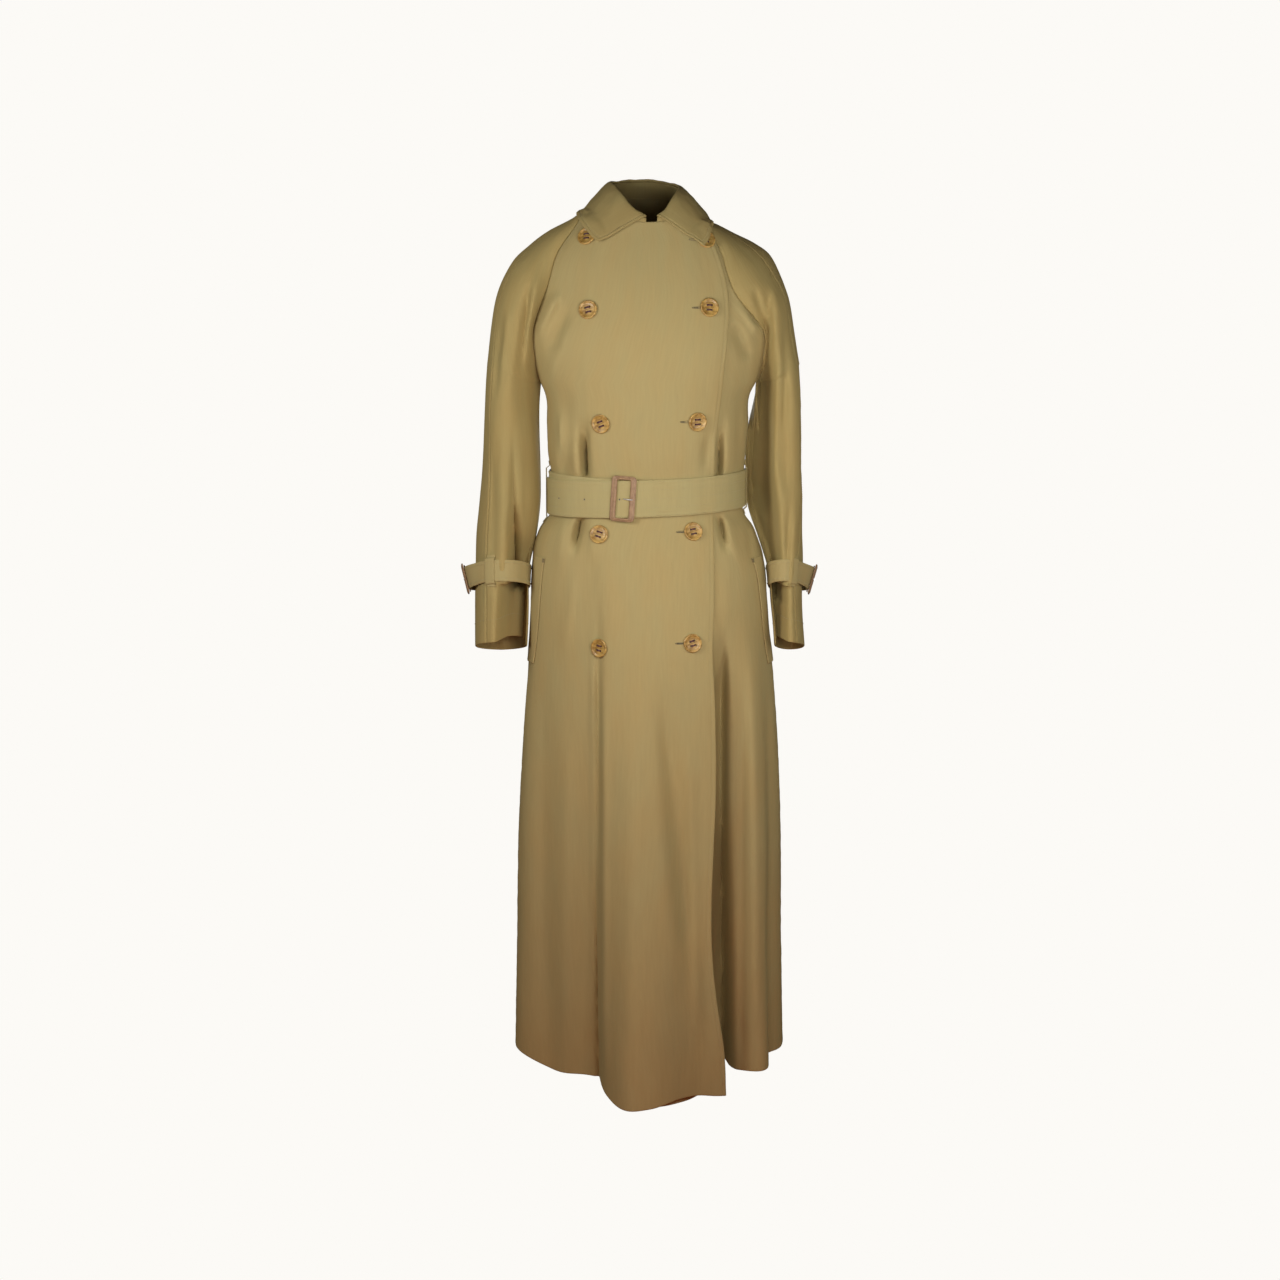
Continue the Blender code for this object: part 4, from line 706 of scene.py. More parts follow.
def cloth_piece(node, points, normals, thickness, cloth):
    """The shell that stands for a cloth node, and the grid it is made from."""
    piece = shell("cloth_" + node, points, normals, thickness, cloth)
    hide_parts(node)
    return dict(piece=piece, points=points, normals=normals, thickness=thickness)


def creased_piece(node, base, side, relief, creases, quiet, edges, cloth):
    """A piece of a panel or a sleeve, with its creases and rounded edges. side turns its normals outwards."""
    normals = grid_normals(base) * side
    points = base + normals * relief[..., None] + crease_push(base, normals, creases) * quiet[..., None]
    from_neck = run_lengths(points, 0)
    thickness = CLOTH * np.ones(base.shape[:2])
    for distance in (*edges, np.abs(from_neck - from_neck[-1:]), from_neck):
        thickness = thickness * edge_grid(distance, ROUNDING)
    return dict(cloth_piece(node, points, grid_normals(points) * side, thickness, cloth), base=base)


def folded_strip(node, points, normals, nearest_edge, thickness, dents, cloth):
    """A strip with folded edges and soft dents of this size and depth."""
    relief = edge_grid(nearest_edge, FOLDED_RELIEF) + unevenness(points, *dents) * eased(nearest_edge / 0.008)
    points = points + normals * relief[..., None]
    return cloth_piece(node, points, normals, thickness * edge_grid(nearest_edge, ROUNDING), cloth)


# Stitches


STITCH = 0.0024
STITCH_PITCH = 0.0034
THREAD = 0.00032


def stitch_row(line, normals, radius=THREAD, stitch=STITCH, pitch=STITCH_PITCH):
    """The points and faces of a row of stitches along a line on the cloth."""
    runs = run_lengths(line[None], 1)[0]
    starts = np.arange(pitch / 2, runs[-1] - stitch, pitch)
    points, faces = [], []

    def at(run, values):
        return np.array([np.interp(run, runs, column) for column in values.T])

    for start in starts:
        a, b = at(start, line), at(start + stitch, line)
        out = unit(at(start + stitch / 2, normals))
        along = unit(b - a)
        side = np.cross(out, along)
        first = len(points)
        middle = (a + b) / 2 + out * radius * 0.6
        wide, quarter, top = side * radius, along * stitch * 0.25, along * stitch * 0.2
        points += [a - out * radius, middle + wide - quarter, middle + wide + quarter]
        points += [b - out * radius, middle - wide + quarter, middle - wide - quarter]
        points += [middle + out * radius - top, middle + out * radius + top]
        for face in ((0, 6, 1), (1, 6, 7, 2), (2, 7, 3), (3, 7, 4), (4, 7, 6, 5), (5, 6, 0)):
            faces.append(tuple(first + i for i in face))
    return points, faces


def stitching(name, lines, material, **sizes):
    """All the stitches along these lines, as one piece."""
    points, faces = [], []
    for line, normals in lines:
        more, sides = stitch_row(line, normals, **sizes)
        faces += [tuple(i + len(points) for i in side) for side in sides]
        points += more
    piece = new_piece(name, points, faces, material)
    return piece


# Body panels


def raglan_angle(raglan, name):
    """The angle of a raglan seam, and of the side seam under it, as a function of the drop."""

    def at(drop):
        seam = smooth(raglan["share"], raglan[name], drop / UNDERARM_DROP)
        return np.where(drop < UNDERARM_DROP, seam, SIDE_ANGLE)

    return at


SHARES = np.concatenate([EDGE_STEPS / UNDERARM_DROP, np.linspace(0.08, 1, 48)])
LOWER_LENGTH = HEM_DROP - UNDERARM_DROP
LOWERS = np.concatenate(
    [np.arange(UNDERARM_DROP + CELL, HEM_DROP - 0.016, 0.0055), HEM_DROP - EDGE_STEPS[::-1]]
)
ROW_DROPS = np.concatenate([UNDERARM_DROP * SHARES, LOWERS])


def panel_surface(layer, top_drop, hem):
    hang = ((LOWERS - UNDERARM_DROP) / LOWER_LENGTH)[:, None] ** 3

    def surface(angles):
        upper, lower = angles[: len(SHARES)], angles[len(SHARES) :]
        top = top_drop(upper)
        upper_drops = top + (UNDERARM_DROP - top) * SHARES[:, None]
        lower_drops = LOWERS[:, None] + (smooth(hem["angle"], hem["drop"], lower) - HEM_DROP) * hang
        drops = np.concatenate([upper_drops, lower_drops])
        offset = lap_offset(angles, drops, layer)[..., None]
        return body(angles, drops, layer) + body_normal(angles, drops, layer) * offset

    return surface


def waist_fade(points):
    """Where the belt holds the cloth flat, its finer creases die out."""
    drop = -points[..., 2]
    return 1 - eased((drop - 0.362) / 0.013) * eased((0.437 - drop) / 0.013)


def make_panel(name, layer, first, last, top_drop, hem, edges, creases, cloth):
    """A body panel's shell. edges says what its first and last columns are: seam or folded."""
    surface = panel_surface(layer, top_drop, hem)
    starts, ends = first(ROW_DROPS), last(ROW_DROPS)
    widest = even(surface, starts, ends, 8)[1].max()
    count = int(widest / CELL)
    angles, width = even(surface, starts, ends, count)
    base = surface(angles)
    from_first, from_last = edge_distances(width, count)
    seam_distance = np.full(base.shape[:2], 1.0)
    relief = np.zeros(base.shape[:2])
    for kind, distance in zip(edges, (from_first, from_last)):
        relief += edge_grid(distance, SEAM_RELIEF if kind == "seam" else FOLDED_RELIEF)
        relief += pucker(base, distance)
        if kind == "seam":
            seam_distance = np.minimum(seam_distance, distance)
    quiet = eased(seam_distance / 0.015) * waist_fade(base)
    relief += unevenness(base, 0.05, 0.0011) * quiet
    return creased_piece(name, base, 1, relief, creases, quiet, (from_first, from_last), cloth)


def outer_line(grid, place, lift=0.0001):
    """A line of a shell's outer side, and its normals. place picks a row or a column."""
    reach = grid["thickness"][place][..., None] / 2 + lift
    return grid["points"][place] + grid["normals"][place] * reach, grid["normals"][place]


def make_panels(cloth, thread):
    right_seam, left_seam = raglan_angle(RAGLAN, "front"), raglan_angle(RAGLAN_LEFT, "front")
    back_right, back_left = raglan_angle(RAGLAN, "back"), raglan_angle(RAGLAN_LEFT, "back")

    def front_top(angle):
        seam = np.where(angle < 0, RAGLAN["front"][0], RAGLAN_LEFT["front"][0])
        return CENTRE_NECK_DROP * (1 - (angle / seam) ** 2)

    def back_top(angle):
        return BACK_NECK_DROP + BACK_NECK_DIP * ((angle - 180) / RAGLAN["back"][0]) ** 2

    def lap(drop):
        return angle_at(read(LAP_EDGE, "drop", "x", drop), drop)

    def under(drop):
        return angle_at(read(UNDER_EDGE, "drop", "x", drop), drop)

    sides = {
        "front_right": ("top", lambda drop: -right_seam(drop), lap, front_top, HEM_RIGHT, ("seam", "folded")),
        "front_left": ("under", under, left_seam, front_top, HEM_LEFT, ("folded", "seam")),
        "back": (
            None,
            lambda drop: 180 - back_left(drop),
            lambda drop: 180 + back_right(drop),
            back_top,
            HEM_BACK,
            ("seam", "seam"),
        ),
    }
    under_creases = {key: np.concatenate([BODY_CREASES[key], UNDER_CREASES[key]]) for key in BODY_CREASES}
    panels = {}
    for name, rest in sides.items():
        creases = under_creases if name == "front_left" else BODY_CREASES
        panels[name] = make_panel(name, *rest, creases, cloth)
    front = panels["front_right"]
    seam, free = np.s_[: len(SHARES), STITCH_COLUMN], np.s_[:, -1 - STITCH_COLUMN]
    stitching("stitching_front_right", [outer_line(front, seam), outer_line(front, free)], thread)
    seam = np.s_[: len(SHARES), -1 - STITCH_COLUMN]
    stitching("stitching_front_left", [outer_line(panels["front_left"], seam)], thread)
    columns = (STITCH_COLUMN, -1 - STITCH_COLUMN)
    lines = [outer_line(panels["back"], np.s_[: len(SHARES), column]) for column in columns]
    stitching("stitching_back", lines, thread)
    return panels


# Sleeves


def across_share(turn, pointed):
    """How far across a sleeve's ring this turn is: -1 at the inner line, 1 at the outer one."""
    turn = (turn + math.pi / 2) % (2 * math.pi) - math.pi / 2
    inner = np.where(turn > math.pi / 2, math.pi - turn, turn) / (math.pi / 2)
    return np.where(np.sin(turn) < 0, inner * pointed + np.sin(turn) * (1 - pointed), np.sin(turn))


def ring(side, drop, turn):
    """A point of a sleeve's whole rings, below the underarm."""
    low = SLEEVE_LEFT if side > 0 else SLEEVE_RIGHT
    inner, outer, y, depth, yaw, tilt, rise = (read(low, "drop", name, drop) for name in list(low)[1:])
    yaw, tilt = np.radians(yaw), np.radians(tilt)
    half = (outer - inner) / 2
    width = np.sqrt(half**2 - (depth * np.sin(yaw)) ** 2) / np.cos(yaw)
    share = across_share(turn, 1 - eased((drop - UNDERARM_DROP) / 0.1))
    x = (inner + outer) / 2 + width * np.cos(yaw) * share + depth * np.sin(yaw) * np.cos(turn)
    ahead = depth * np.cos(yaw) * np.cos(turn) - width * np.sin(yaw) * share
    z = -drop + ahead * np.tan(tilt) + rise * share
    return np.stack([side * x, y - ahead, z], -1)


def upper_sleeve(side, front, back):
    """The sleeve's surface between the raglan seams, for a grid of shares of the way round (0 to 2)."""
    raglan, low = (RAGLAN_LEFT, SLEEVE_LEFT) if side > 0 else (RAGLAN, SLEEVE_RIGHT)
    keys = raglan["share"]
    columns = (raglan[name] for name in ("outer_x", "outer_y", "outer_drop"))
    outer = np.stack([smooth(keys, column, SHARES) for column in columns], -1) * (side, 1, -1)
    wrap = np.radians(read(raglan, "share", "wrap", SHARES))
    middle = (front + back) / 2
    across = (outer - middle) / (1 - across_share(-wrap, 1.0))[:, None]
    gap = np.stack([np.interp(keys, SHARES, column) for column in (front - back).T], -1)
    yaw = math.radians(low["yaw"][0])
    ahead = gap[:-1] / (2 * np.cos(np.radians(raglan["wrap"][:-1])))[:, None]
    last = low["depth"][0] * np.array([side * math.sin(yaw), -math.cos(yaw), 0])
    ahead = np.concatenate([ahead, [last]])
    ahead = np.stack([smooth(keys, column, SHARES) for column in ahead.T], -1)

    def surface(round_share):
        start = -wrap[:, None]
        turn = np.where(
            round_share < 1,
            start + round_share * (math.pi / 2 - start),
            math.pi / 2 + (round_share - 1) * (math.pi / 2 - start),
        )
        points = (outer - across)[:, None] + ahead[:, None] * np.cos(turn)[..., None]
        points = points + across[:, None] * across_share(turn, 1.0)[..., None]
        missed = (front - back) / 2 - ahead * np.cos(wrap)[:, None]
        pull = (1 - eased(round_share / 0.6)) - (1 - eased((2 - round_share) / 0.6))
        return points + missed[:, None] * pull[..., None]

    return surface


def sleeve_surface(side, front, back, drops):
    upper = upper_sleeve(side, front, back)

    def surface(round_share):
        high, low = round_share[: len(SHARES)], round_share[len(SHARES) :]
        turn = np.radians(180 * low - 90)
        return np.concatenate([upper(high), ring(side, drops[:, None], turn)])

    return surface


SLEEVE_DROPS = np.concatenate(
    [
        np.arange(SLEEVE_TOP_DROP + SLEEVE_CELL, SLEEVE_HEM_DROP - 0.016, SLEEVE_CELL),
        SLEEVE_HEM_DROP - EDGE_STEPS[::-1],
    ]
)


def make_sleeve(side, panels, cloth, thread):
    """The front and back pieces of a sleeve, which meet over the arm."""
    word = WORDS[side]
    front_panel = panels["front_" + word]["base"]
    seam, back_seam = (-1, 0) if side > 0 else (0, -1)
    rows = len(SHARES)
    front, back = front_panel[:rows, seam], panels["back"]["base"][:rows, back_seam]
    surface = sleeve_surface(side, front, back, SLEEVE_DROPS)
    creases = SLEEVE_CREASES_LEFT if side > 0 else SLEEVE_CREASES_RIGHT
    total = rows + len(SLEEVE_DROPS)
    grids = {}
    for part, start, end in (("front", 0.0, OVERARM_SHARE), ("back", OVERARM_SHARE, 2.0)):
        starts, ends = np.full(total, start), np.full(total, end)
        count = int(even(surface, starts, ends, 8)[1].max() / SLEEVE_CELL)
        places, width = even(surface, starts, ends, count)
        base = surface(places)
        from_first, from_last = edge_distances(width, count)
        relief = edge_grid(from_first, SEAM_RELIEF) + edge_grid(from_last, SEAM_RELIEF)
        relief += pucker(base, from_first if part == "back" else from_last)
        seam_distance = from_first if part == "front" else from_last
        below = eased((-base[..., 2] - UNDERARM_DROP - 0.02) / 0.06)
        quiet = np.maximum(eased(seam_distance / 0.018), below)
        relief += unevenness(base, 0.045, 0.0011) * quiet
        edges = (from_first, from_last)
        grids[part] = creased_piece(f"sleeve_{word}_{part}", base, side, relief, creases, quiet, edges, cloth)
    lines = [outer_line(grids["back"], np.s_[:, STITCH_COLUMN])]
    lines += [outer_line(grids[part], np.s_[HEM_STITCH_ROW, :]) for part in ("front", "back")]
    stitching(f"stitching_sleeve_{word}", lines, thread)
    return grids


def surface_tree(grids, below=-9.0):
    """A search tree of these grids, down to this height."""
    points, faces = [], []
    for grid in grids:
        rows = int((grid[:, :, 2].max(1) > below).sum())
        part = grid[: max(rows, 2)]
        faces += (grid_faces(*part.shape[:2]) + len(points)).tolist()
        points += [Vector(point) for point in part.reshape(-1, 3)]
    return BVHTree.FromPolygons(points, faces)


# Collar


def make_neck(panels, sleeves):
    """The neck seam as a ring: its angle round the neck, rising, and its points, normals and upward runs."""
    parts = []
    for grid in (panels["front_right"], panels["front_left"], panels["back"]):
        parts.append((grid["base"], grid["normals"]))
    for side in (-1, 1):
        for part in ("front", "back"):
            parts.append((sleeves[side][part]["base"], sleeves[side][part]["normals"]))
    rings = [np.hstack([base[0], normals[8], unit(base[0] - base[8])]) for base, normals in parts]
    rings[0] = rings[0][rings[0][:, 0] < -0.004]
    rings[1] = rings[1][rings[1][:, 0] > 0.004]
    ring_points = np.concatenate(rings)
    angle = np.degrees(np.arctan2(ring_points[:, 0], -ring_points[:, 1])) % 360
    order = np.argsort(angle)
    return angle[order] - 360, ring_points[order]


def raised(tree, point, clearance):
    """The point, moved up and out from the neck's axis until it is this far from the cloth under it."""
    way = unit(unit(point * (1, 1, 0)) + np.array((0, 0, 0.5)))
    found, normal, _, _ = tree.ray_cast(Vector(point + way * 0.15), Vector(-way), 0.25)
    if found is None:
        return point
    needed = clearance / max(abs(np.array(normal) @ way), 0.4)
    return point + way * max(needed - (point - np.array(found)) @ way, 0)


def make_collar(panels, sleeves, buttons, cloth, thread):
    """The collar's fall, which rests on the cloth and the buttons under it, and then its stand."""
    grids = [grid["points"] for grid in panels.values()]
    grids += [part["points"] for sleeve in sleeves.values() for part in sleeve.values()]
    tree = surface_tree(grids, -0.12)
    turns = stepped(COLLAR_LENGTH, 100)
    roll = np.stack([read(COLLAR, "turn", "roll_" + axis, turns) for axis in "xyz"], -1)
    edge = np.stack([read(COLLAR, "turn", "edge_" + axis, turns) for axis in "xyz"], -1)
    out = unit(roll * (1, 1, 0))
    roll_top = roll + UP * COLLAR_ROLL
    first = roll_top + out * 0.007 + UP * 0.003
    second = edge + (roll - edge) / 3 + out * 0.003 + UP * 0.0025
    shares = stepped(COLLAR_FALL, 22)
    shares = np.sort(np.concatenate([[0.0, 0.02, 0.04], shares[shares > 0.05]]))
    rows = []
    for share in shares:
        rest = 1 - share
        near_roll = rest**3 * roll_top + 3 * rest**2 * share * first
        near_edge = 3 * rest * share**2 * second + share**3 * edge
        rows.append(near_roll + near_edge)
    points = np.array(rows)
    for row in range(len(points)):
        if shares[row] < 0.1:
            continue
        for column, point in enumerate(points[row]):
            over_button = min(np.linalg.norm((point - button)[[0, 2]]) for button in buttons)
            lift = COLLAR_LIFT * (1 - eased((over_button - 1.5 * BUTTON_RADIUS) / BUTTON_RADIUS))
            clearance = (CLOTH + COLLAR_CLOTH) / 2 + COLLAR_REST + lift
            points[row, column] = raised(tree, point, clearance)
    normals = -grid_normals(points)
    across = turns * COLLAR_LENGTH
    from_front = np.minimum(across, COLLAR_LENGTH - across)
    nearest_edge = np.minimum(from_front, (1 - shares)[:, None] * COLLAR_FALL)
    relief = 2.2 * edge_grid(nearest_edge, FOLDED_RELIEF)
    relief += unevenness(points, 0.022, 0.0014) * eased(nearest_edge / 0.012)
    points = points + normals * relief[..., None]
    normals = -grid_normals(points)
    thickness = COLLAR_CLOTH * edge_grid(nearest_edge, ROUNDING)
    grid = cloth_piece("collar", points, normals, thickness, cloth)
    inside = np.s_[4 : -STITCH_COLUMN, STITCH_COLUMN]
    other = np.s_[4 : -STITCH_COLUMN, -1 - STITCH_COLUMN]
    along = np.s_[-1 - STITCH_COLUMN, STITCH_COLUMN : -STITCH_COLUMN]
    stitching("stitching_collar", [outer_line(grid, place) for place in (inside, other, along)], thread)
    return grid["piece"], make_stand(make_neck(panels, sleeves), turns, roll, cloth)


def make_stand(neck, turns, roll, cloth):
    """The collar's stand, from the neck seam up to the collar's roll."""
    out = unit(roll * (1, 1, 0))
    angle = np.degrees(np.arctan2(roll[:, 0], -roll[:, 1]))
    angle = np.where(turns <= 0.5, -(-angle % 360), angle % 360 - 360)
    seam = np.stack([np.interp(angle, neck[0], column) for column in neck[1].T], -1)
    bottom = seam[:, :3] + seam[:, 6:] * LAYER_GAP
    top = roll - UP * LAYER_GAP
    band = []
    for share in np.linspace(0, 1, 9):
        bulge = out * 0.0015 * math.sin(math.pi * share)
        band.append(bottom * (1 - share) + top * share + bulge)
    band = np.array(band)
    return cloth_piece("collar_stand", band, grid_normals(band), STRAP_CLOTH, cloth)["piece"]


# Belt


def belt_layer(run):
    """How far the belt's middle lies out from the body."""
    angle = (BUCKLE_ANGLE - run + 180) % 360 - 180
    over_lap = 1 - eased((np.abs(angle) - 50) / 25)
    first = apart(CLOTH, BELT_CLOTH) + 0.0003 + (LAP_OFFSET + 0.0002) * over_lap
    return first + eased((run - BELT_LAP_RUN) / 16) * (BELT_CLOTH + LAYER_GAP)


def belt_point(run, height):
    """A point of the belt's middle surface: how far round from the buckle, and how far above its middle."""
    run = np.asarray(run, float)
    angle = BUCKLE_ANGLE - run
    drop = read(BELT, "run", "drop", run)
    level = np.full_like(drop, WAIST_DROP)
    out = unit(body_normal(angle, level) * (1, 1, 0))
    waist = body(angle, level)
    reaches = [((body(angle, np.full_like(drop, band)) - waist) * out).sum(-1) for band in WAIST_BAND]
    point = waist + out * (np.max(reaches, 0) + belt_layer(run))[..., None]
    point[..., 2] = height - drop
    return point, out


def make_belt(cloth, thread, hole_shadow_material):
    """The belt, from its buckle round the waist to the end of its tail, with its stitches and eyelets."""
    steps = stepped(BELT_LENGTH, 300)
    runs = BELT_START + steps * (BELT_RUN - BELT_START)
    shares = stepped(BELT_WIDTH, 6)
    heights = ((0.5 - shares) * BELT_WIDTH)[:, None]
    taper = eased((runs - BELT_RUN + 6) / 6) * TAIL_TAPER / (BELT_WIDTH / 2)
    points, normals = belt_point(np.broadcast_to(runs, (len(shares), len(runs))), heights * (1 - taper))
    nearest_edge = nearest_edges(shares, BELT_WIDTH, steps, BELT_LENGTH)
    grid = folded_strip("belt", points, normals, nearest_edge, BELT_CLOTH, (0.035, 0.0007), cloth)
    middle = len(shares) // 2
    rows = (STITCH_COLUMN - 2, STITCH_COLUMN + 3, middle, -4 - STITCH_COLUMN, 1 - STITCH_COLUMN)
    stitching("stitching_belt", [outer_line(grid, np.s_[row, :]) for row in rows], thread)
    # Each eyelet's hole is a disc of painted shadow.
    for number, run in enumerate(EYELET_RUNS, 1):
        centre, out = belt_point(run, 0.0)
        eyelet(f"belt_eyelet_{number}", centre + out * (BELT_CLOTH / 2 + 0.0002), out, hole_shadow_material, thread)
    return grid["piece"]


def eyelet(name, centre, out, dark, thread, radius=0.0016):
    """A stitched eyelet: a ring of thread round a flat disc of painted shadow that stands for its hole."""
    turned = Vector(out).to_track_quat("Z", "Y").to_matrix()
    ring_steps, section = 20, 6
    points = []
    for i in range(ring_steps):
        turn = 2 * math.pi * i / ring_steps
        for j in range(section):
            lean = 2 * math.pi * j / section
            reach = radius + 0.0005 * math.cos(lean) + 0.00006 * (i % 2)
            local = Vector((reach * math.cos(turn), reach * math.sin(turn), 0.0003 * math.sin(lean)))
            points.append(np.array(turned @ local) + centre)
    faces = [(a, d, c, b) for a, b, c, d in tube_faces(ring_steps, section)]
    piece = new_piece(name, points, faces, thread)
    # The hole is a flat disc of painted shadow lying on the belt.
    turns = np.arange(16) * math.pi / 8
    rim = [Vector((radius * math.cos(turn), radius * math.sin(turn), 0.00005)) for turn in turns]
    disc = [np.array(turned @ spot) + centre for spot in rim]
    hole = new_piece(name + "_hole", disc, [tuple(range(16))], dark)


def nearest(tree, point):
    return np.array(tree.find_nearest(Vector(point))[0])


def finer(rows, count):
    """Rows of points, redrawn as this many rows."""
    places, wanted = np.linspace(0, 1, len(rows)), np.linspace(0, 1, count)
    columns = [[np.interp(wanted, places, line) for line in column.T] for column in np.swapaxes(rows, 0, 1)]
    return np.moveaxis(np.array(columns), -1, 0)


def make_belt_loops(tree, cloth):
    """The loops at the side seams. Each stands on the panels above and below the belt and lies over it."""
    loops = []
    half_angle = math.degrees(LOOP_WIDTH / 2 / 0.11)
    for side, whole_turns, shift, reach in zip(*LOOPS.values()):
        run = (BUCKLE_ANGLE - side * SIDE_ANGLE) % 360 + 360 * whole_turns
        runs = run + np.linspace(-1, 1, 7) * half_angle
        middle = read(BELT, "run", "drop", run)
        upper = (reach + 0.011, reach + 0.0045, reach)
        rows, outs = [], []
        for height in (*upper, 0, *(-high for high in reversed(upper))):
            point, out = belt_point(runs, np.full_like(runs, height + shift))
            if abs(height) <= reach:
                point = point + out * apart(BELT_CLOTH, LOOP_CLOTH)
            else:
                drops = np.full_like(runs, middle - height - shift)
                normal = body_normal(BUCKLE_ANGLE - runs, drops)
                touch = np.array([nearest(tree, place) for place in body(BUCKLE_ANGLE - runs, drops)])
                point = touch + normal * apart(CLOTH, LOOP_CLOTH)
            rows.append(point)
            outs.append(out)
        points, normals = finer(np.array(rows), LOOP_ROWS), unit(finer(np.array(outs), LOOP_ROWS))
        loops.append(cloth_piece("belt_loop_" + WORDS[side], points, normals, LOOP_CLOTH, cloth)["piece"])
    return loops


# Buckles


def rounded_outline(half_width, half_height, radius, corner_steps=8):
    """Points round a rounded rectangle."""
    points = []
    for quarter, (sx, sy) in enumerate(((1, 1), (-1, 1), (-1, -1), (1, -1))):
        for step in range(corner_steps + 1):
            turn = math.radians(90 * (quarter + step / corner_steps))
            x = sx * (half_width - radius) + radius * math.cos(turn)
            y = sy * (half_height - radius) + radius * math.sin(turn)
            points.append((x, y))
    return np.array(points)


def place(points, origin, along, up, out):
    return origin + points[:, 0:1] * along + points[:, 1:2] * up + points[:, 2:3] * out


# Across a leather-covered frame: from the inner edge over the padded roll to the thin sewn flange outside.
FRAME_SECTION = (
    (-1.0, -0.6),
    (-1.0, 0.1),
    (-0.85, 0.75),
    (-0.5, 1.0),
    (-0.1, 0.85),
    (0.2, 0.35),
    (0.45, 0.25),
    (0.8, 0.22),
    (1.0, -0.1),
    (1.0, -0.6),
    (0.6, -1.0),
    (-0.6, -1.0),
)
FLANGE_SHARE = 0.62
BUCKLE_STITCHES = dict(radius=0.00024, stitch=0.0013, pitch=0.0019)
# A buckle's half width, half height, side, rail, thickness and corner radius, and the cloth that it holds.
BELT_BUCKLE = (0.0180, 0.0325, 0.0085, 0.0052, 0.0040, 0.006)
CUFF_BUCKLE = (0.0125, 0.0225, 0.0055, 0.0042, 0.0032, 0.004)
BELT_BUCKLE_CLOTH, CUFF_BUCKLE_CLOTH = 0.0022, 0.0016


def make_buckle(node, frame_axes, strap_cloth, sizes, leather, metal, stitch):
    """A leather-covered frame with its bar, stitches round its flange, and the prong."""
    name = "leather_" + node
    half_width, half_height, side, rail, thickness, radius = sizes
    top_of_strap = strap_cloth * 1.5 + LAYER_GAP
    level = top_of_strap + LAYER_GAP + thickness / 2
    outer = rounded_outline(half_width, half_height, radius)
    inner = rounded_outline(half_width - side, half_height - rail, radius * 0.45)
    points, flange = [], []
    for outside, inside in zip(outer, inner):
        middle, reach = (outside + inside) / 2, (outside - inside) / 2
        for across, height in FRAME_SECTION:
            points.append((*(middle + reach * across), level + height * thickness / 2))
        flange.append((*(middle + reach * FLANGE_SHARE), level + 0.25 * thickness / 2 + 0.0001))
    faces = tube_faces(len(outer), len(FRAME_SECTION))
    # The bar that the strap's end is sewn round.
    bar, half_bar = strap_cloth / 2, 0.0011
    reach = half_height - rail * 0.6
    first = len(points)
    for y in (-reach, reach):
        for turn in np.arange(8) * math.pi / 4:
            points.append((half_bar * math.cos(turn), y, bar + half_bar * (1 + math.sin(turn)) - 0.0004))
    faces += [(first + j, first + (j + 1) % 8, first + 8 + (j + 1) % 8, first + 8 + j) for j in range(8)]
    piece = new_piece(name, place(np.array(points), *frame_axes), faces, leather)
    bevel = piece.modifiers.new("soften", "SUBSURF")
    bevel.levels = bevel.render_levels = 1
    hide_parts(node)
    line = place(np.array(flange + flange[:1]), *frame_axes)
    normals = np.repeat(frame_axes[3][None], len(line), 0)
    sewn = stitching(name + "_stitches", [(line, normals)], stitch, **BUCKLE_STITCHES)

    wire = min(0.0010, thickness / 4)
    start = top_of_strap + wire
    rest = level + thickness / 2 + wire
    inside, tip = (half_width - side) * 0.9, half_width - side * 0.45
    bend = (inside * 0.6, 0, (start + rest) / 2 + 0.0004)
    route = [(0.0010, 0, start), bend, (inside, 0, rest), (tip, 0, rest)]
    prong = wire_piece(name.replace("buckle", "prong"), place(np.array(route), *frame_axes), wire, metal)
    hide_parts(node.replace("buckle", "prong"))
    return piece


def wire_piece(name, route, radius, material):
    curve = bpy.data.curves.new(name, "CURVE")
    curve.dimensions = "3D"
    curve.bevel_depth = radius
    curve.bevel_resolution = 4
    curve.use_fill_caps = True
    spline = curve.splines.new("POLY")
    spline.points.add(len(route) - 1)
    for control, point in zip(spline.points, route):
        control.co = (*point, 1)
    curve.materials.append(material)
    return riding(name, curve)


def make_belt_buckle(leather, metal, stitch):
    origin, out = belt_point(0.0, -0.0007)
    along = unit(np.cross(UP, out))
    tilt = math.radians(BUCKLE_TILT)
    along, up = along * math.cos(tilt) + UP * math.sin(tilt), UP * math.cos(tilt) - along * math.sin(tilt)
    axes = (origin, along, up, out)
    make_buckle("belt_buckle", axes, BELT_BUCKLE_CLOTH, BELT_BUCKLE, leather, metal, stitch)


# Cuff straps


def strap_point(side, run, height, lift):
    """A point of a cuff strap's middle surface. run starts at the buckle, on the sleeve's outer line."""
    run, height = np.broadcast_arrays(np.asarray(run, float), np.asarray(height, float))
    drop = STRAP_TOP_DROP + (0.5 - height) * STRAP_WIDTH
    turn = np.radians(90 + run)
    touch = ring(side, drop, turn)
    beside = ring(side, drop, turn + 0.02) - ring(side, drop, turn - 0.02)
    below = ring(side, drop + 0.002, turn) - ring(side, drop - 0.002, turn)
    out = unit(np.cross(below, beside)) * side
    layer = eased((run - STRAP_LAP_RUN) / 25)
    near = np.abs((run + 180) % 360 - 180) / STRAP_FLARE_TURN
    flare = np.exp(-(near**2))
    offset = apart(CLOTH, STRAP_CLOTH) + 0.0006 + layer * (STRAP_CLOTH + LAYER_GAP)
    offset = offset + lift + flare * (STRAP_FLARE + STRAP_FLARE_GROWTH * height)
    point = touch + out * offset[..., None]
    point[..., 2] -= STRAP_SAG * flare
    return point, out


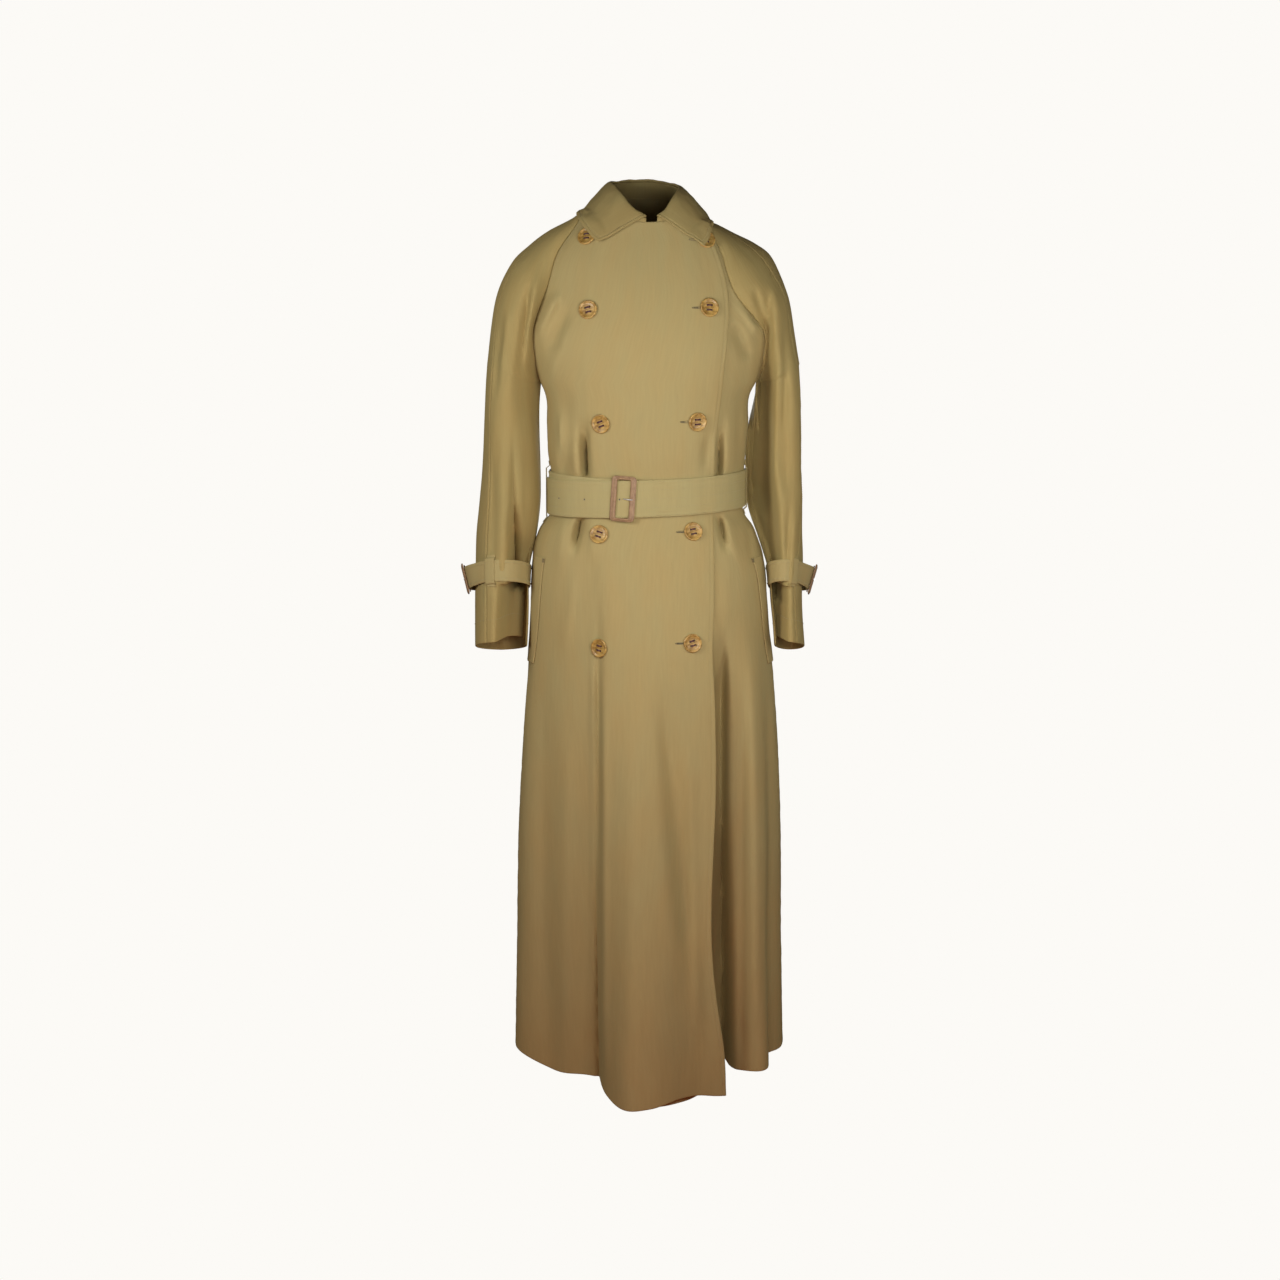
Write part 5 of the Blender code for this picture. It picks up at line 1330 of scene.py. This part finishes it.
def make_strap(side, cloth, thread):
    """A cuff strap: round the sleeve, with its free end over its start."""
    steps = stepped(STRAP_LENGTH, 110)
    runs = STRAP_RUNS[0] + steps * (STRAP_RUNS[1] - STRAP_RUNS[0])
    shares = stepped(STRAP_WIDTH, 3)
    shares = shares[np.concatenate([[True], np.diff(shares) > 0.002])]
    heights = 0.5 - shares
    points, _ = strap_point(side, np.broadcast_to(runs, (len(heights), len(runs))), heights[:, None], 0)
    normals = grid_normals(points)
    if (normals[len(heights) // 2, 0] @ (side, 0, 0)) < 0:
        normals = -normals
    nearest_edge = nearest_edges(shares, STRAP_WIDTH, steps, STRAP_LENGTH)
    name = "cuff_strap_" + WORDS[side]
    grid = folded_strip(name, points, normals, nearest_edge, STRAP_CLOTH, (0.03, 0.0005), cloth)
    stitching("stitching_" + name, [outer_line(grid, np.s_[row, :]) for row in (4, -5)], thread)
    return grid["piece"]


def cuff_axes(side):
    """Where a cuff's buckle sits, and its directions along the strap, up and out."""
    ends, _ = strap_point(side, 0.0, np.array((0.5, 0.0, -0.5)), 0)
    before, _ = strap_point(side, np.array((-6.0, 6.0)), 0.0, 0)
    along = unit(before[0] - before[1])
    up = ends[0] - ends[2]
    up = unit(up - along * (up @ along))
    out = np.cross(along, up)
    if out @ (side, 0, 0) < 0:
        out = -out
    return ends[1], along, up, out


def make_keeper(side, cloth):
    """The keeper that holds a strap's free end. It is sewn to the sleeve above and below the strap."""
    turns = KEEPER_MIDDLE + np.linspace(-KEEPER_TURN, KEEPER_TURN, 9)
    key_heights = (0.74, 0.62, 0.56, 0.0, -0.56, -0.62, -0.74)
    rows, normals = [], []
    for height in np.concatenate([np.linspace(a, b, 5)[:-1] for a, b in zip(key_heights, key_heights[1:])]):
        drop = STRAP_TOP_DROP + (0.5 - height) * STRAP_WIDTH
        on_strap = eased((0.64 - abs(height)) / 0.08)
        resting, normal = strap_point(side, turns + 270, height, apart(STRAP_CLOTH, LOOP_CLOTH))
        touch = ring(side, np.full_like(turns, drop), np.radians(turns)) + normal * apart(CLOTH, LOOP_CLOTH)
        rows.append(touch * (1 - on_strap) + resting * on_strap)
        normals.append(normal)
    name = "cuff_keeper_" + WORDS[side]
    return cloth_piece(name, np.array(rows), np.array(normals), LOOP_CLOTH, cloth)["piece"]


def make_cuff(side, cloth, thread, leather, metal, stitch):
    strap = make_strap(side, cloth, thread)
    node = "cuff_buckle_" + WORDS[side]
    make_buckle(node, cuff_axes(side), CUFF_BUCKLE_CLOTH, CUFF_BUCKLE, leather, metal, stitch)
    return strap, make_keeper(side, cloth)


# Pocket welts


def make_welt(side, panel, cloth, thread, tack_thread):
    """A slanted pocket welt with stitched edges, and the bar-tack at its top."""
    word = WORDS[side]
    layer = "under" if side > 0 else "top"
    tree = surface_tree([panel["points"]])
    height = WELT_DROPS[1] - WELT_DROPS[0]
    down, across = stepped(height, 24), stepped(WELT_WIDTH, 5)
    drops = (WELT_DROPS[0] + down * height)[:, None] + 0 * across
    angles = side * (WELT_ANGLE + WELT_SLANT * down[:, None] + WELT_SPAN * across)
    normals = body_normal(angles, drops, layer)
    base = body(angles, drops, layer)
    touch = np.array([[nearest(tree, point) for point in row] for row in base])
    points = touch + normals * apart(CLOTH, STRAP_CLOTH)
    nearest_edge = nearest_edges(down, height, across, WELT_WIDTH)
    points = points + normals * edge_grid(nearest_edge, FOLDED_RELIEF)[..., None] * 0.5
    thickness = STRAP_CLOTH * edge_grid(nearest_edge, ROUNDING)
    grid = cloth_piece("pocket_welt_" + word, points, normals, thickness, cloth)
    lines = [outer_line(grid, np.s_[:, column]) for column in (STITCH_COLUMN, -1 - STITCH_COLUMN)]
    lines.append(outer_line(grid, np.s_[STITCH_COLUMN, :]))
    stitching("stitching_pocket_welt_" + word, lines, thread, radius=0.0002)
    inner = (points + normals * thickness[..., None] / 2)[2, 1]
    out, along = normals[2, 1], unit(points[2, 2] - points[2, 0])
    down_it = np.cross(out, along)
    tack = []
    for step in TACK_STEPS:
        start = inner + down_it * (step if down_it[2] < 0 else -step) + out * 0.0002
        tack.append((start + np.outer(TACK_REACH, along), np.array((out, out))))
    stitching("stitching_bar_tack_" + word, tack, tack_thread, **TACK_STITCHES)
    return grid["piece"]


# Buttons


def button_seats(panel_points):
    """Each button's name, and the point and normal of the front that it is sewn on."""
    tree = surface_tree([panel_points])
    seats = []
    for number, row in enumerate(zip(*BUTTONS.values()), 1):
        for word, x, drop in (("right", row[0], row[2]), ("left", row[1], row[3])):
            turns = np.arange(8) * math.pi / 4
            around = np.stack([np.cos(turns), np.zeros(8), np.sin(turns)], -1) * BUTTON_RADIUS
            middle = np.array((x, -1, -drop))
            starts = (middle, *(middle + around))
            found = [tree.ray_cast(Vector(start), Vector((0, 1, 0)))[0] for start in starts]
            seat, rim = np.array(found[0]), np.array([spot for spot in found[1:] if spot])
            normal = -unit(np.cross(rim - seat, np.roll(rim, -1, 0) - seat).sum(0))
            normal = normal * -np.sign(normal[1])
            highest = max(((rim - seat) @ normal).max(), 0)
            seats.append((number, word, seat + normal * highest, normal))
    return seats


# Each ring's share of the radius and of the thickness, from the back over the rim down into the dish.
BUTTON_PROFILE = (
    (0.80, 0.0),
    (0.93, 0.12),
    (1.0, 0.42),
    (0.995, 0.66),
    (0.965, 0.88),
    (0.915, 1.0),
    (0.86, 0.97),
    (0.80, 0.84),
    (0.74, 0.66),
    (0.66, 0.58),
    (0.45, 0.56),
    (0.25, 0.55),
)
HOLE_REACH = 0.0047
HOLE_RADIUS = 0.0017


def button_mesh(horn):
    """One turned button with four holes through it, about the origin."""
    sides = 56
    points = []
    for wide, high in BUTTON_PROFILE:
        for turn in np.arange(sides) * 2 * math.pi / sides:
            reach = wide * BUTTON_RADIUS
            points.append((reach * math.cos(turn), reach * math.sin(turn), high * BUTTON_THICKNESS))
    rings = len(BUTTON_PROFILE)
    faces = tube_faces(rings, sides, False)
    faces.append(tuple(range(sides))[::-1])
    faces.append(tuple((rings - 1) * sides + j for j in range(sides)))
    mesh = bpy.data.meshes.new("horn_button")
    mesh.from_pydata(points, [], faces)
    turned = bpy.data.objects.new("turned_button", mesh)
    bpy.context.scene.collection.objects.link(turned)
    cutters = []
    for quarter in range(4):
        turn = math.pi / 4 + quarter * math.pi / 2
        bpy.ops.mesh.primitive_cylinder_add(
            vertices=14,
            radius=HOLE_RADIUS,
            depth=0.02,
            location=(HOLE_REACH * math.cos(turn), HOLE_REACH * math.sin(turn), 0),
        )
        cutter = bpy.context.object
        cut = turned.modifiers.new("hole", "BOOLEAN")
        cut.operation = "DIFFERENCE"
        cut.object = cutter
        cutters.append(cutter)
    evaluated = turned.evaluated_get(bpy.context.evaluated_depsgraph_get())
    drilled = bpy.data.meshes.new_from_object(evaluated)
    drilled.name = "horn_button"
    drilled.materials.clear()
    drilled.materials.append(horn)
    drilled.shade_smooth()
    drilled.set_sharp_from_angle(angle=math.radians(40))
    for spare in (turned, *cutters):
        bpy.data.objects.remove(spare, do_unlink=True)
    return drilled


def thread_mesh(material):
    """The thread through a button's holes: two bars of three strands, and the shank under them."""
    points, faces = [], []

    def tube(route, radius, sides=6):
        first = len(points)
        for i, spot in enumerate(route):
            ahead = unit(np.array(route[min(i + 1, len(route) - 1)]) - np.array(route[max(i - 1, 0)]))
            side = unit(np.cross(ahead, (0.3, 0.2, 1.0)))
            up = np.cross(side, ahead)
            for turn in np.arange(sides) * 2 * math.pi / sides:
                points.append(np.array(spot) + radius * (side * math.cos(turn) + up * math.sin(turn)))
        faces.extend(tuple(first + i for i in face) for face in tube_faces(len(route), sides, False))

    reach = HOLE_REACH * math.cos(math.pi / 4)
    top = BUTTON_THICKNESS * 0.55
    for y in (-reach, reach):
        for shift in (-0.00075, 0.0, 0.00075):
            route = [(-reach, y + shift, 0.0002), (-reach, y + shift, top + 0.0001)]
            for share in np.linspace(0, 1, 7)[1:-1]:
                height = top + 0.00055 * math.sin(math.pi * share) + 0.0002
                route.append((reach * (2 * share - 1), y + shift, height))
            route += [(reach, y + shift, top + 0.0001), (reach, y + shift, 0.0002)]
            tube(route, 0.00050)
    tube([(0, 0, -0.0012), (0, 0, 0.0004)], 0.0022, 12)
    mesh = bpy.data.meshes.new("button_thread")
    mesh.from_pydata([tuple(point) for point in points], [], faces)
    mesh.materials.append(material)
    mesh.shade_smooth()
    return mesh


def make_buttons(seats, horn, thread):
    button, sewing = button_mesh(horn), thread_mesh(thread)
    spins = (8, -12, 15, -4, 20, 3, -18, 10, -7, 14)
    for (number, word, seat, normal), spin in zip(seats, spins):
        facing = Vector(normal).to_track_quat("Z", "Y").to_matrix().to_4x4()
        turned = facing @ Matrix.Rotation(math.radians(spin), 4, "Z")
        base = Vector(seat + normal * (CLOTH / 2 + LAYER_GAP + 0.0003))
        name = f"button_{number}_{word}"
        for mesh, kind in ((button, "horn_"), (sewing, "thread_")):
            piece = riding(kind + name, mesh, Matrix.Translation(base) @ turned)
            if kind == "horn_":
                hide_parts(name)


def make_buttonholes(seats, tree, thread, dark):
    """A worked buttonhole runs from each of the wearer's left buttons towards the middle of the front."""
    length, half = BUTTONHOLE_LENGTH, BUTTONHOLE_HALF_WIDTH
    for number, word, seat, normal in seats:
        if word == "right":
            continue
        centre = seat + np.array((BUTTONHOLE_SHIFT, 0, 0))
        points = []
        steps, section = 40, 6
        for i in range(steps):
            turn = 2 * math.pi * i / steps
            x = length / 2 * signed_power(math.cos(turn), 0.7)
            z = half * signed_power(math.sin(turn), 0.6)
            spot = centre + np.array((x, -0.05, z))
            found, face, _, _ = tree.ray_cast(Vector(spot), Vector((0, 1, 0)))
            face = np.array(face) * -np.sign(face[1])
            away = unit(np.array((x * 0.1, 0, z)))
            for j in range(section):
                lean = 2 * math.pi * j / section
                bulge = 0.00055 + 0.00012 * (i % 2)
                lift = face * (CLOTH / 2 + 0.00045 * math.sin(lean))
                points.append(np.array(found) + lift + away * bulge * math.cos(lean))
        rim = new_piece(f"buttonhole_{number}", points, tube_faces(steps, section), thread)
        # The slit is a flat sheet of painted shadow just in front of the cloth.
        slit_shadow = []
        for x, z in ((-1, 0), (-0.6, 0.5), (0.6, 0.5), (1, 0), (0.6, -0.5), (-0.6, -0.5)):
            spot = centre + np.array((x * length * 0.46, -0.05, z * half))
            found, face, _, _ = tree.ray_cast(Vector(spot), Vector((0, 1, 0)))
            slit_shadow.append(np.array(found) - np.array((0, CLOTH / 2 + 0.00012, 0)))
        opening = new_piece(f"buttonhole_{number}_slit", slit_shadow, [tuple(range(6))], dark)


# Materials


def node_material(name):
    made = bpy.data.materials.new(name)
    made.use_nodes = True
    return made, made.node_tree.nodes, made.node_tree.links, made.node_tree.nodes["Principled BSDF"]


def set_inputs(node, values):
    for name, value in values.items():
        node.inputs[name].default_value = value


def bump(nodes, links, height, strength, distance):
    """A bump node that reads this height."""
    made = nodes.new("ShaderNodeBump")
    set_inputs(made, {"Strength": strength, "Distance": distance})
    links.new(height, made.inputs["Height"])
    return made


def ramp(nodes, links, factor, low, high):
    """A colour that runs from low to high with the factor."""
    mix = nodes.new("ShaderNodeMix")
    mix.data_type = "RGBA"
    set_inputs(mix, {"A": (*low, 1), "B": (*high, 1)})
    links.new(factor, mix.inputs["Factor"])
    return mix.outputs["Result"]


def noise_at(nodes, links, vector, scale, stretch=(1, 1, 1), detail=3.0):
    mapping = nodes.new("ShaderNodeMapping")
    mapping.inputs["Scale"].default_value = stretch
    links.new(vector, mapping.inputs["Vector"])
    texture = nodes.new("ShaderNodeTexNoise")
    set_inputs(texture, {"Scale": scale, "Detail": detail})
    links.new(mapping.outputs["Vector"], texture.inputs["Vector"])
    return texture.outputs["Fac"]


def contrast(nodes, links, factor, low, high):
    remap = nodes.new("ShaderNodeMapRange")
    set_inputs(remap, {"From Min": low, "From Max": high})
    links.new(factor, remap.inputs["Value"])
    return remap.outputs["Result"]


KHAKI = ((0.435, 0.330, 0.140), (0.420, 0.340, 0.152))


def gabardine(name, painted_light_tone):
    """Khaki cotton gabardine: a fine steep twill, slubs along the warp, soft mottling and a low sheen."""
    made, nodes, links, shader = node_material(name)
    # The tone scales both colours: below 1 it paints shade into a darker copy of the cloth, above 1 it paints
    # light into a lighter one.
    brown, green = ([a * b for a, b in zip(colour, painted_light_tone)] for colour in KHAKI)
    uv = nodes.new("ShaderNodeTexCoord").outputs["UV"]
    slubs = contrast(nodes, links, noise_at(nodes, links, uv, 1.0, (320, 22, 1)), 0.3, 0.7)
    mottle = contrast(nodes, links, noise_at(nodes, links, uv, 1.0, (26, 9, 1)), 0.3, 0.7)
    base = ramp(nodes, links, mottle, brown, green)
    threads = ramp(nodes, links, slubs, (0.95, 0.95, 0.95), (1.0, 1.0, 1.0))
    mix = nodes.new("ShaderNodeMix")
    mix.data_type = "RGBA"
    mix.blend_type = "MULTIPLY"
    mix.inputs["Factor"].default_value = 1.0
    links.new(base, mix.inputs["A"])
    links.new(threads, mix.inputs["B"])
    links.new(mix.outputs["Result"], shader.inputs["Base Color"])
    looks = {"Roughness": 0.72, "Diffuse Roughness": 0.25, "Specular IOR Level": 0.12}
    looks |= {"Sheen Weight": 0.05, "Sheen Roughness": 0.35, "Sheen Tint": (0.76, 0.86, 0.52, 1)}
    set_inputs(shader, looks)

    twill_map = nodes.new("ShaderNodeMapping")
    twill_map.inputs["Rotation"].default_value = (0, 0, math.radians(-28))
    links.new(uv, twill_map.inputs["Vector"])
    twill = nodes.new("ShaderNodeTexWave")
    twill.wave_type = "BANDS"
    set_inputs(twill, {"Scale": 300.0, "Distortion": 0.6})
    links.new(twill_map.outputs["Vector"], twill.inputs["Vector"])
    fine = bump(nodes, links, twill.outputs["Fac"], 0.10, 0.0001)
    soft = bump(nodes, links, noise_at(nodes, links, uv, 1.0, (90, 30, 1), 4.0), 0.35, 0.0012)
    links.new(fine.outputs["Normal"], soft.inputs["Normal"])
    links.new(soft.outputs["Normal"], shader.inputs["Normal"])
    return made


def plain_thread(name, colour):
    made, nodes, links, shader = node_material(name)
    place_on = nodes.new("ShaderNodeTexCoord").outputs["Object"]
    lengths = contrast(nodes, links, noise_at(nodes, links, place_on, 900.0), 0.3, 0.7)
    dark = tuple(0.75 * channel for channel in colour)
    links.new(ramp(nodes, links, lengths, dark, colour), shader.inputs["Base Color"])
    set_inputs(shader, {"Roughness": 0.6, "Sheen Weight": 0.15})
    return made


def horn_material():
    """Tan imitation horn: streaked and mottled, with a satin polish."""
    made, nodes, links, shader = node_material("horn")
    where = nodes.new("ShaderNodeTexCoord").outputs["Object"]
    streaks = contrast(nodes, links, noise_at(nodes, links, where, 130.0, (1, 2.4, 1), 5.0), 0.38, 0.62)
    base = ramp(nodes, links, streaks, (0.27, 0.140, 0.026), (0.52, 0.315, 0.085))
    links.new(base, shader.inputs["Base Color"])
    set_inputs(shader, {"Roughness": 0.42, "Coat Weight": 0.15, "Subsurface Weight": 0.05})
    grain = bump(nodes, links, noise_at(nodes, links, where, 500.0), 0.15, 0.0004)
    links.new(grain.outputs["Normal"], shader.inputs["Normal"])
    return made


def leather_material():
    made, nodes, links, shader = node_material("leather")
    where = nodes.new("ShaderNodeTexCoord").outputs["Object"]
    blotches = contrast(nodes, links, noise_at(nodes, links, where, 160.0), 0.3, 0.7)
    base = ramp(nodes, links, blotches, (0.25, 0.140, 0.070), (0.38, 0.230, 0.118))
    links.new(base, shader.inputs["Base Color"])
    shader.inputs["Roughness"].default_value = 0.5
    grain = nodes.new("ShaderNodeTexVoronoi")
    grain.inputs["Scale"].default_value = 1400.0
    links.new(where, grain.inputs["Vector"])
    pebbled = bump(nodes, links, grain.outputs["Distance"], 0.4, 0.0002)
    links.new(pebbled.outputs["Normal"], shader.inputs["Normal"])
    return made


def metal_material():
    made, nodes, links, shader = node_material("metal")
    where = nodes.new("ShaderNodeTexCoord").outputs["Object"]
    set_inputs(shader, {"Metallic": 1.0, "Base Color": (0.78, 0.77, 0.75, 1)})
    wear = contrast(nodes, links, noise_at(nodes, links, where, 700.0), 0.2, 0.8)
    remap = nodes.new("ShaderNodeMapRange")
    set_inputs(remap, {"To Min": 0.36, "To Max": 0.52})
    links.new(wear, remap.inputs["Value"])
    links.new(remap.outputs["Result"], shader.inputs["Roughness"])
    return made


# Camera, lights and backdrop


BACKGROUND = (0.973, 0.956, 0.922)
STAGE_RADIUS = 30
FLOOR_HEIGHT = -1.45
LAMP = (1.0, 1.0, 0.98)
SENSOR_WIDTH = 36.0
PICTURE_WIDTH = 1280
FOCAL_LENGTH = 2500 / PICTURE_WIDTH * SENSOR_WIDTH
CAMERA_PLACE = (-0.013, -3.658, -0.118)
CAMERA_PITCH = 7.745


def make_camera():
    data = bpy.data.cameras.new("camera")
    data.sensor_width = SENSOR_WIDTH
    data.lens = FOCAL_LENGTH
    data.clip_start, data.clip_end = 0.05, 100
    camera = bpy.data.objects.new("camera", data)
    camera.location = CAMERA_PLACE
    camera.rotation_euler = (math.radians(90 - CAMERA_PITCH), 0, 0)
    bpy.context.scene.collection.objects.link(camera)
    bpy.context.scene.camera = camera


def area_light(name, location, target, size, power, colour):
    data = bpy.data.lights.new(name, "AREA")
    data.shape = "RECTANGLE"
    data.size, data.size_y = size
    data.energy = power
    data.color = colour
    light = bpy.data.objects.new(name, data)
    light.location = location
    light.rotation_euler = (Vector(target) - Vector(location)).to_track_quat("-Z", "Y").to_euler()
    light.visible_camera = False
    bpy.context.scene.collection.objects.link(light)


def make_lights():
    area_light("key", (0.15, -0.98, -0.33), (0.0, 0, -0.38), (0.45, 0.5), 5.2, LAMP)
    area_light("left_key", (-0.92, -1.0, -0.04), (-0.05, 0, -0.26), (0.4, 0.5), 8.0, LAMP)
    area_light("right_key", (0.95, -1.0, -0.27), (0.05, 0, -0.34), (0.4, 0.5), 3.2, LAMP)
    area_light("floor_glow", (0.0, -1.3, -1.55), (0, 0, -1.15), (1.6, 0.5), 2.9, (1.0, 0.13, 0.0))
    area_light("back_key", (0.0, 1.4, -0.40), (0, 0, -0.45), (0.8, 0.8), 9.0, LAMP)
    for side in (-1, 1):
        area_light("side_fill", (side * 2.2, 0.9, -0.3), (0, 0, -0.5), (1.2, 1.6), 1.2, (0.95, 1.0, 0.80))
    world = bpy.data.worlds.new("world")
    world.use_nodes = True
    background = world.node_tree.nodes["Background"]
    background.inputs["Color"].default_value = (1.0, 0.78, 0.62, 1)
    background.inputs["Strength"].default_value = 0.06
    bpy.context.scene.world = world


def backdrop_material():
    made = bpy.data.materials.new("backdrop")
    made.use_nodes = True
    nodes, links = made.node_tree.nodes, made.node_tree.links
    nodes.clear()
    glow = nodes.new("ShaderNodeEmission")
    glow.inputs["Color"].default_value = (*BACKGROUND, 1)
    links.new(glow.outputs["Emission"], nodes.new("ShaderNodeOutputMaterial").inputs["Surface"])
    return made


def make_backdrop():
    """A pale floor, and the same pale all round: plain, and it throws no light of its own on the coat."""
    material = backdrop_material()
    bpy.ops.mesh.primitive_circle_add(vertices=96, radius=STAGE_RADIUS, fill_type="NGON")
    floor = bpy.context.object
    floor.name = "floor"
    floor.location.z = FLOOR_HEIGHT
    bpy.ops.mesh.primitive_uv_sphere_add(segments=48, ring_count=24, radius=STAGE_RADIUS)
    surround = bpy.context.object
    surround.name = "surround"
    for stage in (floor, surround):
        stage.data.materials.append(material)
        for kind in ("diffuse", "glossy", "transmission", "volume_scatter", "shadow"):
            setattr(stage, "visible_" + kind, False)


# The whole coat


def main():
    bpy.context.scene.view_settings.view_transform = "Standard"
    make_camera()
    make_lights()
    make_backdrop()
    # The sleeve and collar cloths are copies of the gabardine darkened with painted shade. The belt's cloth
    # is a copy lightened and greened with painted light.
    cloth = gabardine("gabardine", (1.0, 1.0, 1.0))
    painted_shade_sleeve_cloth = gabardine("sleeve_gabardine_painted_shade", (0.94, 0.91, 0.82))
    painted_shade_collar_cloth = gabardine("collar_gabardine_painted_shade", (0.84, 0.82, 0.76))
    painted_light_belt_cloth = gabardine("belt_gabardine_painted_light", (1.01, 1.07, 1.12))
    thread = plain_thread("khaki_thread", (0.44, 0.36, 0.17))
    seam_thread = plain_thread("dark_khaki_thread", (0.22, 0.17, 0.07))
    button_thread = plain_thread("plum_thread", (0.095, 0.030, 0.030))
    # Painted shadow for the belt's eyelet holes and the buttonhole slits: flat dark sheets laid on the cloth.
    dark = plain_thread("hole_shadow", (0.040, 0.030, 0.015))
    horn, leather, metal = horn_material(), leather_material(), metal_material()
    buckle_thread = plain_thread("buckle_thread", (0.30, 0.20, 0.12))

    panels = make_panels(cloth, thread)
    sleeves = {side: make_sleeve(side, panels, painted_shade_sleeve_cloth, thread) for side in (-1, 1)}
    front_tree = surface_tree([panels["front_right"]["points"]])
    seats = button_seats(panels["front_right"]["points"])
    collar, stand = make_collar(panels, sleeves, [seat for _, _, seat, _ in seats[:2]], painted_shade_collar_cloth, thread)
    belt = make_belt(painted_light_belt_cloth, thread, dark)
    body_tree = surface_tree([grid["points"] for grid in panels.values()])
    loops = make_belt_loops(body_tree, cloth)
    make_belt_buckle(leather, metal, buckle_thread)
    cuffs = [make_cuff(side, cloth, thread, leather, metal, buckle_thread) for side in (-1, 1)]
    welts = [
        make_welt(side, panels["front_" + WORDS[side]], cloth, thread, seam_thread)
        for side in (-1, 1)
    ]
    make_buttons(seats, horn, button_thread)
    make_buttonholes(seats, front_tree, seam_thread, dark)


main()
